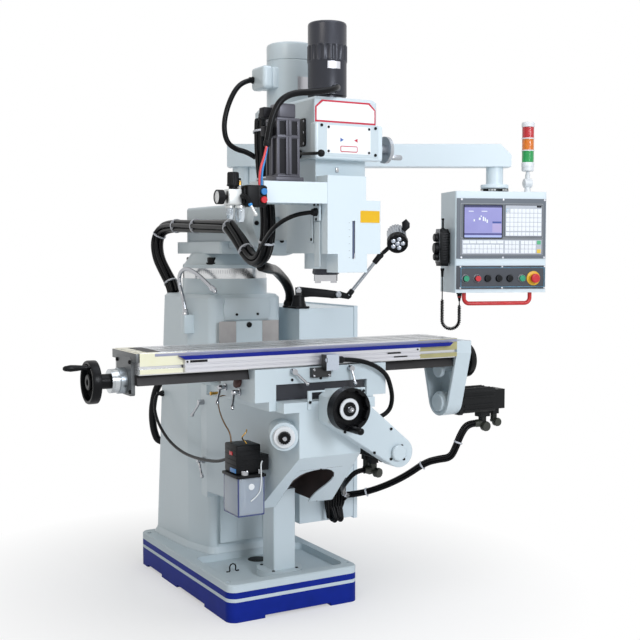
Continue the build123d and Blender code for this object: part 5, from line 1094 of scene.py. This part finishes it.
class MILL_OT_lamp(bpy.types.Operator):
    """Makes the working lamp's foot, joints and head"""
    bl_idname = "mill.lamp"
    bl_label = "Working lamp"

    def execute(self, context):
        hip, elbow = Vector((240, -72, 1278)), Vector((392, -159, 1260))
        wrist, middle = Vector((551, -250, 1431)), Vector((615, -286, 1497))
        reach = Vector((elbow.x - hip.x, elbow.y - hip.y, 0)).normalized()
        side = Vector((-reach.y, reach.x, 0))
        cap = [(13, 0), (13, 3), (10, 6), (4, 6.5), (0, 5)]
        piece("lamp_foot", "black_abs", "frame",
              slab((204, -108, 1198), (276, -36, 1208), 3),
              turned((240, -72, 1206), UP, [(34, 0), (33, 6), (27, 26), (25, 50), (0, 52)], 40))
        piece("lamp_arm_shell", "black_abs", "lamp_arm", plate([
            (-13, 4), (-13, -8), (4, -18), (16, -33), (71, -25), (147, -36), (172, -35), (184, -26),
            (182, -12), (166, -4), (120, 3), (6, 15), (-6, 14)], hip + side * 11, reach, UP, 22, 4),
            hides=("lamp_arm",))
        piece("lamp_hip_caps", "chrome", "frame", *(
            turned(hip + side * way * 19, side * way, cap, 32) for way in (-1, 1)))

        # The rod starts beside the elbow and rises to the wrist.
        heel = elbow + reach * 44 + Vector((0, 0, -4))
        rise = wrist - heel
        lift = rise.normalized()
        piece("lamp_stem", "anodised_silver", "lamp_rod",
              *(turned(elbow + side * way * 18, side * way, cap, 32) for way in (-1, 1)),
              turned(heel, lift, [(8, 0), (8, rise.length - 14)], 32))
        piece("lamp_elbow", "black_abs", "lamp_rod",
              plate([
                  (-14, 0), (-6, -14), (44, -22), (56, -14), (62, 10), (50, 16), (34, 2), (8, 14), (-8, 12),
              ], elbow + side * 7, reach, UP, 14, 3),
              turned(heel, lift, [(11, 4), (12, 8), (12, 26), (9, 30)], 32),
              turned(wrist, lift, [(9, -44), (12, -42), (13, -4), (11, 8), (0, 10)], 32),
              turned(wrist - side * 12, side, [(12, 0), (14, 2), (14, 22), (12, 24), (0, 24)], 32),
              hides=("lamp_rod",))

        # The head looks down to the table: neck, bezel, finned back and a ring of beads round one.
        axis = Vector((-0.43, -0.75, -0.5)).normalized()
        neck = (middle - wrist).normalized()
        piece("lamp_bezel", "black_abs", "lamp_head",
              turned(wrist + neck * 14, neck, [(9, 0), (9, 40), (11, 44), (11, 60)], 24),
              turned(middle + axis * 6, axis, [
                  (32, -2), (45, 0), (47, 4, 3), (47, 26, 3), (45, 30), (39, 30), (38, 26), (0, 25)], 96, 12),
              plate([(24, 34), (30, 20), (56, 44), (56, 64), (40, 82), (22, 68)],
                    middle - axis * 22 + side * 10, reach, UP, 20, 4),
              hides=("lamp_head",))
        piece("lamp_fins", "anodised_silver", "lamp_head", turned(middle - axis * 75, axis, [
            (28, 0), (38, 2, 2), (43, 6, 4), (43, 74, 4), (40, 80, 2)], 160, 20))
        across = axis.orthogonal().normalized()
        over = axis.cross(across)
        turns = [math.tau * bead / 5 for bead in range(5)]
        spots = [(across * math.cos(turn) + over * math.sin(turn)) * 23 for turn in turns] + [Vector()]
        bead = [(10.4, -1), (10.4, 2), (8, 4.6), (4, 6), (0, 6.3)]
        piece("lamp_beads", "lamp_bead", "lamp_head", *(
            turned(middle + axis * 30 + spot, axis, bead, 24) for spot in spots))
        return {"FINISHED"}


# Servos and lubricator


def plug_cap(spot, way, wide):
    """The round cap on the elbow of a servo's plug."""
    return turned(spot, way, [
        (wide - 3, 0), (wide, 2), (wide, 16), (wide + 1, 17), (wide - 1, 24), (0, 25)], 40)


class MILL_OT_drives(bpy.types.Operator):
    """Finishes the table and cross servos, their plugs and the lubricator"""
    bl_idname = "mill.drives"
    bl_label = "Servos and lubricator"

    def tank(self):
        """The clear tank with its thick edges and the oil in it."""
        piece("oil_tank", "tank_shell", "knee", slab((-314, -610, 448), (-200, -479, 598), 12, 4),
              hides=("lubricator",))
        rim = [(-310, -606), (-204, -606), (-204, -483), (-310, -483)]
        foot = 450.5
        sides = [
            [(*one, foot), ((one[0] + two[0]) / 2, (one[1] + two[1]) / 2, foot), (*two, foot)]
            for one, two in zip(rim, rim[1:] + rim[:1])
        ]
        piece("tank_edges", "tank_edge", "knee",
              *(sleeve([(*spot, 452), (*spot, 520), (*spot, 594)], 3.2, 12) for spot in rim),
              *(sleeve(line, 3, 12) for line in sides))
        piece("tank_oil", "tank_oil", "knee", slab((-306, -602, 456), (-208, -487, 576), 8))

    def pump(self):
        """The pump on the tank, its marks, gauge, pipes and coil."""
        ribs = range(636, 712, 19)
        piece("oil_pump", "black_abs", "knee",
              slab((-318, -614, 594), (-196, -475, 606), 3),
              slab((-310, -592, 606), (-208, -483, 717), 6),
              *(slab((-298, -593.5, low), (-220, -591, low + 4), 0.6) for low in ribs),
              *(slab((-311.5, -580, low), (-309, -496, low + 4), 0.6) for low in ribs),
              flat_plate([(-210, -590), (-174, -590), (-194, -485), (-210, -485)], 615, 60, 2))
        piece("filler_cap", "chrome", "knee",
              turned((-280, -600, 606), UP, [(14, 0), (14, 10, 1.5), (12, 16, 1.5), (0, 17)], 40, 20),
              turned((-220, -601, 596), UP, [(4, 0), (4, 24), (3, 26), (0, 26)], 16))
        piece("pump_red_mark", "red_button", "knee", slab((-312, -556, 676), (-309, -530, 690), 0.6))
        piece("pump_blue_mark", "blue_button", "knee", slab((-312, -586, 612), (-309, -536, 628), 0.6))
        piece("tank_gauge", "white_abs", "knee",
              turned((-257, -610, 560), FRONT, [(12, -2), (12, 1.2), (10, 2), (0, 2)], 32),
              turned((-290, -596, 470), UP, [(3, 0), (3, 124), (0, 125)], 16))
        drain = followed(route("oil_return_line", [
            (-206, -600, 652), (-216, -608, 650), (-218, -613, 620), (-217, -613, 570), (-224, -613, 528),
            (-262, -613, 506)]))
        piece("tank_standpipe", "white_abs", "knee", sleeve(drain, 2.4),
              turned((-284, -604, 482), UP, [(0, 0), (5, 1), (5, 100), (3, 104)], 24))
        coil = [(-262 + 9 * math.cos(step / 4), -560 + 6 * math.sin(step / 4), 716 + 2.2 * step)
                for step in range(26)]
        piece("pump_coil", "brass", "knee", sleeve(coil, 2.6, 12))

    def servos(self):
        """Cooling ribs along the table's servo, its encoder lid and both servos' plugs."""
        ribs = ((-603, 850), (-603, 830), (-603, 794), (-603, 774),
                (-590, 862.5), (-572, 862.5), (-532, 862.5), (-514, 862.5))
        piece("table_servo_ribs", "servo_lacquer", "table",
              *(slab((746, y - 3, z - 4), (908, y + 3, z + 4), 1.5) for y, z in ribs),
              slab((914, -596, 768), (921, -508, 856), 3),
              slab((968, -588, 776), (973, -516, 848), 2))
        piece("table_servo_plugs", "connector_shell", "table",
              turned((884, -552, 690), UP, [(0, -1), (16, 0), (19, 3), (19, 10), (17, 12), (17, 46)], 40),
              turned((946, -552, 708), UP, [(0, -1), (14, 0), (16, 3), (16, 9), (14, 11), (14, 36)], 40),
              turned((880, -552, 707), LEFT, [
                  (15, 0), (17, 16, 1), (17, 30, 1), (15, 33), (15.4, 43)], 48, 16),
              plug_cap((888, -556, 694), FRONT, 21),
              plug_cap((950, -556, 708), FRONT, 18))
        piece("cross_servo_plugs", "connector_shell", "knee",
              turned((270, -634, 563), UP, [(0, -1), (15, 0), (18, 3), (18, 10), (16.4, 12), (16.4, 40)], 40),
              turned((270, -585, 573), UP, [(0, -1), (12, 0), (15, 3), (15, 9), (13.4, 11), (13.4, 40)], 40),
              turned((266, -634, 580), LEFT, [
                  (14, 0), (16, 12, 1), (16, 26, 1), (14, 29), (14.4, 38)], 48, 16),
              plug_cap((276, -642, 568), (0.3, -0.95, 0), 19),
              plug_cap((262, -600, 572), (0.3, -0.95, 0), 16))

    def execute(self, context):
        dress("servo_lacquer", "x_servo", "y_servo")
        self.tank()
        self.pump()
        self.servos()
        return {"FINISHED"}


# Cords

TWIST = 0.5  # degrees that a bundle turns from one point of its line to the next


def route(name, spots):
    """A spline with a cord's points, in millimetres, as its control points."""
    curve = bpy.data.curves.new(name, "CURVE")
    curve.dimensions = "3D"
    spline = curve.splines.new("NURBS")
    spline.points.add(len(spots) - 1)
    for point, spot in zip(spline.points, spots):
        point.co = (spot[0] * MM, spot[1] * MM, spot[2] * MM, 1.0)
    spline.order_u = 3
    spline.use_endpoint_u = True
    curve.resolution_u = 10
    return curve


def followed(curve):
    """The points along a spline, in millimetres."""
    bare = bpy.data.objects.new(curve.name, curve)
    mesh = bpy.data.meshes.new_from_object(bare)
    line = [corner.co / MM for corner in mesh.vertices]
    bpy.data.objects.remove(bare)
    bpy.data.meshes.remove(mesh)
    return line


def run(line):
    """A line's length in metres."""
    return sum((after - before).length for before, after in zip(line, line[1:])) * MM


def nearest(line, spot):
    """The place on a line nearest to a point."""
    return min(range(len(line)), key=lambda i: (line[i] - Vector(spot)).length)


class MILL_OT_cords(bpy.types.Operator):
    """Lays every cord, hose and cable of the mill"""
    bl_idname = "mill.cords"
    bl_label = "Cords"

    def single(self, name, spots, diameter, body, node, finish="pvc_sheath", stiffness="medium",
               lay="hanging", sides=5):
        """A cord that rides on one body."""
        curve = route(name, spots)
        length = run(followed(curve))
        curve.bevel_depth = diameter / 2 * MM
        curve.bevel_resolution = sides
        curve.use_fill_caps = True
        curve.materials.append(bpy.data.materials[finish])
        obj = bpy.data.objects.new(name, curve)
        bpy.context.scene.collection.objects.link(obj)
        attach(obj, body)
        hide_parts(node)

    def tie(self, line, frames, place, reach):
        """A band round a bundle and the lock on it."""
        width = bpy.context.scene.mill_sizes.tie / MM
        way = (line[place + 1] - line[place - 1]).normalized()
        out = frames[place][0]
        band = [(reach - 1.5, 0), (reach, 0.3), (reach, width - 0.3), (reach - 1.5, width)]
        return [turned(line[place] - way * width / 2, way, band, 32),
                turned(line[place] + out * reach, out, [(4, -1), (4, 3), (3, 4), (0, 4)], 12)]

    def split(self, name, spots, diameter, node, parts, strands, tie_spots=(), tie_reach=0.0):
        """A cord across joints: parts are (body, next body, blend start, blend end, from, till, slimmer);
        body, next body, blend start and blend end are not used.

        Strands are (angle, distance from the middle, radius).
        """
        line = followed(route(name, spots))
        frames = carried(line)
        held = [nearest(line, spot) for spot in tie_spots]
        for number, (body, after, start, end, since, till, slimmer) in enumerate(parts, 1):
            first = nearest(line, since) if since else 0
            last = nearest(line, till) if till else len(line) - 1
            lanes = []
            for angle, distance, radius in strands:
                lane = []
                for i in range(first, last + 1):
                    turn = math.radians(angle + TWIST * i)
                    one, two = frames[i]
                    lane.append(line[i] + (one * math.cos(turn) + two * math.sin(turn)) * distance)
                lanes.append(sleeve(lane, radius - slimmer))
            cord = piece(f"{name}_{number}", "pvc_sheath", None, *lanes)
            made = [cord]
            ties = []
            for place in held:
                if max(first, 1) <= place < min(last, len(line) - 2):
                    ties += self.tie(line, frames, place, tie_reach)
            if ties:
                made.append(piece(f"{name}_ties_{number}", "nylon_tie", None, *ties))
            for obj in made:
                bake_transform(obj)
            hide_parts(node)

    def loom(self):
        """The bundle from the column's back along the ram to the head."""
        self.split("loom", [
            (-168, 366, 1262), (-172, 380, 1300), (-184, 426, 1352), (-190, 500, 1420), (-182, 540, 1496),
            (-166, 512, 1552), (-164, 400, 1564), (-165, 250, 1561), (-166, 70, 1556), (-168, -120, 1551),
            (-168, -216, 1549), (-168, -242, 1546), (-168, -262, 1534), (-168, -333, 1492),
            (-168, -402, 1440), (-168, -470, 1408), (-168, -546, 1430), (-168, -582, 1520),
            (-168, -570, 1630), (-166, -534, 1760), (-160, -504, 1872), (-152, -494, 1942),
        ], 62, "cable_loom", [
            ("frame", "turret", (-170, 376, 1290), (-164, 520, 1490), None, (-164, 360, 1564), 0),
            ("turret", "ram", (-165, 320, 1563), (-168, -100, 1552), (-164, 360, 1564),
             (-168, -120, 1551), 0),
            ("ram", "knuckle", (-168, -215, 1549), (-168, -430, 1424), (-168, -120, 1551),
             (-168, -470, 1416), 0),
            ("knuckle", "head", (-168, -475, 1416), (-168, -570, 1500), (-168, -470, 1416), None, 0),
        ], [
            (0, 0, 10), (0, 20, 10.2), (60, 20, 9), (120, 20, 10.5), (180, 20, 9.5), (240, 20, 10.5),
            (300, 20, 9),
        ], [
            (-170, 380, 1310), (-164, 520, 1520), (-164, 330, 1563), (-166, 110, 1557), (-168, -236, 1545),
            (-168, -390, 1450), (-168, -566, 1480), (-167, -540, 1720), (-166, -480, 1900),
        ], 32)

    def head(self):
        """The drawbar's hose, the motor's and the quill's cable, two air tubes and their glands."""
        self.single("drawbar_hose", [
            (-8.24, -817.42, 2042), (-15.46, -840.31, 2042), (-62, -872, 2022), (-140, -882, 2008),
            (-222, -884, 2000), (-274, -884, 1972), (-302, -882, 1922), (-316, -880, 1866),
            (-324, -878, 1812),
        ], 23, "head", "head_cables")
        self.single("motor_cable", [
            (-146, -414, 2112), (-172, -424, 2110), (-230, -446, 2080), (-272, -455, 2012),
            (-296, -460, 1930), (-288, -466, 1864), (-254, -476, 1836), (-206, -486, 1826),
            (-178, -496, 1806),
        ], 20, "head", "head_cables")
        self.single("quill_cable", [
            (-101, -852, 1588), (-132, -852, 1588), (-180, -806, 1578), (-210, -732, 1546),
            (-214, -654, 1500), (-202, -578, 1458),
        ], 16, "head", "head_cables")
        self.single("blue_tube", [
            (-320, -874, 1812), (-328, -876, 1774), (-345, -878, 1722), (-345, -878, 1674),
        ], 8, "head", "head_cables", "nylon_blue")
        self.single("red_tube", [
            (-328, -884, 1812), (-338, -886, 1774), (-358, -886, 1722), (-358, -886, 1674),
        ], 8, "head", "head_cables", "nylon_red")
        shapes = [
            turned((-146, -414, 2112), (-0.94, -0.3, 0), [(14, 0), (14, 6, 1.5), (12, 8), (10.4, 20)], 36, 6),
            turned((-101, -852, 1588), LEFT, [
                (18, 0), (18, 8, 1.5), (15, 9), (15, 22, 0.8), (12, 24), (12, 29), (9, 32)], 36, 12),
            turned((-324, -879, 1818), (-0.1, 0, -1), [
                (11.7, -12), (12.4, -10), (12.4, 5), (10, 9), (0, 10)], 24),
        ]
        nut = [(12, -22), (14, -20), (14, -4, 1), (12, 0), (13, 14), (10, 22), (0, 23)]
        wall = -122
        for x, y, z in ((-156, -506, 1944), (-160, -482, 1934), (-148, -492, 1956)):
            shapes += [turned((x, y, z), (0, 0.3, 0.95), nut, 36, 12),
                       turned((x, y, z + 8), RIGHT, [(11, -8), (12, 0), (12, wall - x)], 32)]
        piece("head_glands", "black_abs", "head", *shapes)

    def conduit(self):
        """The conduit from the cabinet's top under the ram to the knuckle."""
        self.split("conduit", [
            (241, 13, 1198), (241, 13, 1228), (234, -6, 1264), (190, -52, 1312), (118, -124, 1350),
            (44, -220, 1372), (-30, -330, 1376), (-94, -420, 1383), (-128, -436, 1390),
        ], 42, "cabinet_cables", [
            ("frame", "turret", (241, 13, 1250), (150, -84, 1344), None, (95, -148, 1369), 0),
            ("turret", "ram", (95, -148, 1369), (10, -270, 1376), (150, -84, 1344), (-20, -314, 1377), 0.4),
            ("ram", "knuckle", (-20, -314, 1377), (-100, -422, 1383), (30, -240, 1377), None, 0),
        ], [(0, 0, 21)])
        piece("conduit_gland", "black_abs", "frame", turned((241, 13, 1198), UP, [
            (32, 0), (32, 8), (28, 10), (27, 24, 1), (24, 30), (22, 34)], 48, 24))

    def servos(self):
        """The cables of the table's and the cross servo to the cabinet."""
        self.split("table_cables", [
            (837, -552, 707), (803, -552, 707), (772, -546, 664), (754, -536, 608), (742, -516, 562),
            (706, -478, 552), (668, -434, 534), (612, -362, 466), (548, -284, 412), (478, -196, 370),
            (416, -150, 362),
        ], 30, "knee_cables", [
            ("table", "saddle", (803, -552, 700), (720, -490, 556), None, (700, -472, 549), 0),
            ("saddle", "knee", (700, -472, 549), (600, -348, 458), (700, -472, 549), (590, -334, 449), 0),
            ("knee", "frame", (590, -334, 449), (480, -190, 362), (590, -334, 449), None, 0),
        ], [(0, 9.4, 7.4), (90, 9.4, 7), (180, 9.4, 7.4), (270, 9.4, 7)],
            [(760, -540, 630), (660, -420, 520), (500, -222, 378)], 17.6)
        self.split("cross_cables", [
            (228, -634, 580), (192, -634, 580), (174, -600, 540), (197, -522, 490), (260, -418, 446),
            (340, -308, 404), (406, -216, 376), (434, -176, 366), (424, -150, 342),
        ], 22, "knee_cables", [
            ("knee", "frame", (200, -520, 492), (440, -190, 358), None, None, 0),
        ], [(0, 5.4, 5.4), (120, 5.4, 5.2), (240, 5.4, 5.4)], [(300, -364, 424)], 11.5)

    def hank(self):
        """The spare cable: six loops over the cabinet's hook, fanned out at the foot, and its end."""
        loops, pitch, bend, depth, hook, waist = 6, 15, 18, -134, 423, 350
        spots = []
        for loop in range(loops):
            x = 434 - pitch * loop
            fan = (loop - (loops - 1) / 2) * 5.0
            low = 272 - 6 * ((loop * 5) % 3)
            for step in range(7):
                angle = math.pi * (1 + step / 6)
                if loop or step > 2:
                    spots.append((x + 7 + fan - step, depth + bend * math.cos(angle),
                                  low + 2 + bend * math.sin(angle)))
            spots.append((x - 3.7, depth + 0.5 - bend, waist))
            for step in range(7):
                angle = math.pi * (1 - step / 6)
                spots.append((x - 7 - step * 0.3, depth + bend * math.cos(angle),
                              hook + bend * math.sin(angle)))
            spots.append((x - 11, depth - 0.5 + bend, waist))
        tail = Vector((344, -151.5, 272)) + Vector((-7.5, 0, 153)).normalized() * 205
        spots += [(348, -146, 262), (344, -151.5, 285), (340, -151.5, 380), tuple(tail),
                  (tail.x - 2, -148, tail.z + 24), (tail.x - 2, -130, tail.z + 36),
                  (tail.x - 2, -100, tail.z + 36)]
        self.single("spare_hank", spots, 13, "frame", "cabinet_cables", lay="coiled")

    def knee(self):
        """The switch's hose, the pump's lead, the oil tube, the loop behind the column and their glands."""
        self.split("switch_hose", [
            (62, -724, 1036), (96, -724, 1036), (160, -732, 1027), (224, -730, 1004), (276, -722, 968),
            (304, -708, 920), (322, -696, 868), (316, -684, 816), (268, -670, 788), (198.27, -656.41, 780),
            (146.67, -650, 780),
        ], 18, "knee_cables", [
            ("saddle", "knee", (120, -726, 1034), (300, -680, 800), None, None, 0)], [(0, 0, 9)])
        self.split("pump_lead", [
            (-226, 386, 800), (-250, 386, 800), (-268, 372, 752), (-270, 326, 682), (-268, 222, 624),
            (-268, 106, 596), (-268, -20, 585), (-270, -185, 593), (-272, -340, 612), (-272, -430, 640),
            (-272, -483, 640),
        ], 13, "knee_cables", [
            ("frame", "knee", (-268, 222, 624), (-272, -400, 630), None, None, 0)], [(0, 0, 6.5)])
        self.single("oil_tube", [
            (-290, -500, 717), (-290, -500, 748), (-296, -452, 782), (-288, -392, 818), (-262, -318, 850),
            (-234, -258, 864), (-197.8, -258, 864),
        ], 6, "knee", "knee_cables", "nylon_brown", "stiff", sides=3)
        self.single("rear_loop", [
            (-165, 444, 846), (-196, 468, 846), (-212, 486, 808), (-222, 494, 758), (-228, 498, 702),
            (-226, 498, 648), (-220, 492, 603), (-204, 486, 561), (-174, 464, 561),
        ], 34, "frame", "cabinet_cables")
        piece("switch_gland", "black_abs", "saddle", turned((46, -724, 1036), RIGHT, [
            (15, 0), (15, 10, 1.4), (14, 11), (14, 26, 0.6), (11, 30), (9.4, 34)], 36, 12))
        piece("lead_gland", "black_abs", "frame", turned((-212, 386, 800), LEFT, [
            (14, 0), (14, 9, 1.2), (13.4, 10), (13.4, 14), (9, 22), (7, 36)], 36, 6))

    def handset(self):
        """The handset's cord: a straight lead, curls round a hanging U, a straight lead into the gland."""
        out = PENDANT @ Vector((-0.240, -0.005, 1.362)) / MM
        home = PENDANT @ Vector((-0.166, -0.020, 1.245)) / MM
        across = Vector((home.x - out.x, home.y - out.y, 0))
        bend = across.length / 2
        across.normalize()
        aside = Vector((-across.y, across.x, 0))
        top, low, lead_in, reach = 1240.0, 1146.0, 24.0, 6.0
        curls, per_curl, taper = 38, 12, 14
        steps = curls * per_curl
        down, up, round_foot = top - low, home.z - 6 - lead_in - low, math.pi * bend
        spots = [out, Vector((out.x, out.y, 1310)), Vector((out.x, out.y, top + lead_in))]
        for step in range(steps + 1):
            way = (down + up + round_foot) * step / steps
            angle = math.tau * step / per_curl
            if way <= down:
                middle, inward = Vector((out.x, out.y, top - way)), across
            elif way <= down + round_foot:
                arc = (way - down) / bend
                inward = across * math.cos(arc) + Vector((0, 0, math.sin(arc)))
                middle = Vector((out.x, out.y, low)) + across * bend - inward * bend
            else:
                middle, inward = Vector((home.x, home.y, low + way - down - round_foot)), -across
            wide = reach * min(1.0, step / taper, (steps - step) / taper)
            spots.append(middle + inward * wide * math.cos(angle) + aside * wide * math.sin(angle))
        spots += [home - Vector((0, 0, 14)), home]
        self.single("handset_curl", spots, 5, "pendant", "handset_cord", stiffness="limp", sides=3)

    def execute(self, context):
        self.loom()
        self.head()
        self.conduit()
        self.servos()
        self.hank()
        self.knee()
        self.handset()
        return {"FINISHED"}


# Stage


def looked_at(tree):
    """One for a ray from the camera, a mirror or glass, nought for one that only brings light."""
    path = add(tree, "ShaderNodeLightPath")
    seen = path.outputs["Is Camera Ray"]
    for kind in ("Is Glossy Ray", "Is Transmission Ray"):
        either = add(tree, "ShaderNodeMath", {"operation": "MAXIMUM"}, {0: seen, 1: path.outputs[kind]})
        seen = either.outputs[0]
    return seen


class MILL_OT_stage(bpy.types.Operator):
    """Sets the floor, the light and the camera"""
    bl_idname = "mill.stage"
    bl_label = "Stage"

    def floor(self, half):
        """A sheet of paper under the mill."""
        # Matt white paper: shows the soft shadow near the object and fades to plain white.
        paper = bpy.data.materials.new("studio_paper")
        paper.use_nodes = True
        tree = paper.node_tree
        shader = tree.nodes["Principled BSDF"]
        shader.inputs["Base Color"].default_value = linear("#f1f2f3")
        shader.inputs["Roughness"].default_value = 0.9
        place = add(tree, "ShaderNodeTexCoord")
        reach = add(tree, "ShaderNodeVectorMath", {"operation": "LENGTH"}, {0: place.outputs["Object"]})
        fade = add(
            tree, "ShaderNodeMapRange", {"From Min": 0.5, "From Max": 1.5, "To Min": 0.45, "To Max": 1.0},
            {"Value": reach.outputs["Value"]})
        share = add(tree, "ShaderNodeMath", {"operation": "MULTIPLY"},
                    {0: fade.outputs[0], 1: looked_at(tree)})
        white = add(tree, "ShaderNodeEmission", {"Color": (1, 1, 1, 1), "Strength": 1.0})
        mix = add(tree, "ShaderNodeMixShader", None,
                  {0: share.outputs[0], 1: shader.outputs[0], 2: white.outputs[0]})
        tree.links.new(mix.outputs[0], tree.nodes["Material Output"].inputs["Surface"])
        thick = 12
        corners = [(-half, -half), (half, -half), (half, half), (-half, half)]
        piece("studio_floor", "studio_paper", None, flat_plate(corners, -thick, thick))

    def light(self, scene):
        """A white room that lights less than it shows, and three soft lamps."""
        world = bpy.data.worlds.new("studio")
        scene.world = world
        world.use_nodes = True
        tree = world.node_tree
        ground = tree.nodes["Background"]
        ground.inputs["Color"].default_value = (1, 1, 1, 1)
        power = add(tree, "ShaderNodeMapRange", {"To Min": 0.38, "To Max": 1.0}, {"Value": looked_at(tree)})
        tree.links.new(power.outputs[0], ground.inputs["Strength"])
        for name, spot, aim, size, watts, colour in (
                ("key", (0.3, -7.6, 3.5), (0.1, -0.5, 0.7), 2.2, 262.0, "#f3f8ff"),
                ("sky", (0.5, -1.9, 5.2), (0.1, -0.5, 0.6), 3.2, 70.0, "#eef4ff"),
                ("fill", (-3.4, -2.6, 4.2), (0.0, -0.3, 2.0), 1.6, 38.0, "#fff6e8")):
            light = bpy.data.lights.new(name, "AREA")
            light.color = linear(colour)[:3]
            light.size = size
            light.energy = watts
            lamp = bpy.data.objects.new(name, light)
            scene.collection.objects.link(lamp)
            lamp.location = spot
            lamp.rotation_euler = (Vector(aim) - Vector(spot)).to_track_quat("-Z", "Y").to_euler()

    def execute(self, context):
        scene = context.scene
        stage = scene.mill_stage
        scene.view_settings.view_transform = "Standard"
        self.floor(stage.floor / MM)
        self.light(scene)
        camera = bpy.data.cameras.new("camera")
        camera.lens = stage.lens
        camera.sensor_width = 36.0
        camera.clip_end = 100.0
        eye = bpy.data.objects.new("camera", camera)
        scene.collection.objects.link(eye)
        eye.location = stage.eye
        eye.rotation_euler = (math.radians(90) - stage.dip, 0.0, -stage.turn)
        scene.camera = eye
        return {"FINISHED"}


STEPS = (MILL_OT_finishes, MILL_OT_castings, MILL_OT_table, MILL_OT_head, MILL_OT_air, MILL_OT_pendant,
         MILL_OT_lamp, MILL_OT_drives, MILL_OT_cords, MILL_OT_stage)


class MILL_PT_dressing(bpy.types.Panel):
    """Lists the mill's settings and steps"""
    bl_idname = "MILL_PT_dressing"
    bl_label = "Turret mill"
    bl_space_type = "VIEW_3D"
    bl_region_type = "UI"
    bl_category = "Turret mill"

    def draw(self, context):
        for group in (context.scene.mill_colours, context.scene.mill_sizes, context.scene.mill_stage):
            for name in group.bl_rna.properties.keys():
                if name not in ("rna_type", "name"):
                    self.layout.prop(group, name)
        for step in STEPS:
            self.layout.operator(step.bl_idname)


GROUPS = (("mill_colours", MillColours), ("mill_sizes", MillSizes), ("mill_stage", MillStage))


def register():
    """Adds the settings, the steps and the panel to Blender."""
    for name, group in GROUPS:
        bpy.utils.register_class(group)
        setattr(bpy.types.Scene, name, bpy.props.PointerProperty(type=group))
    for step in STEPS:
        bpy.utils.register_class(step)
    bpy.utils.register_class(MILL_PT_dressing)


def unregister():
    """Takes them out again."""
    bpy.utils.unregister_class(MILL_PT_dressing)
    for step in reversed(STEPS):
        bpy.utils.unregister_class(step)
    for name, group in reversed(GROUPS):
        delattr(bpy.types.Scene, name)
        bpy.utils.unregister_class(group)


def main():
    """Runs every step in order."""
    register()
    for step in STEPS:
        group, name = step.bl_idname.split(".")
        getattr(getattr(bpy.ops, group), name)()


if __name__ == "__main__":
    main()
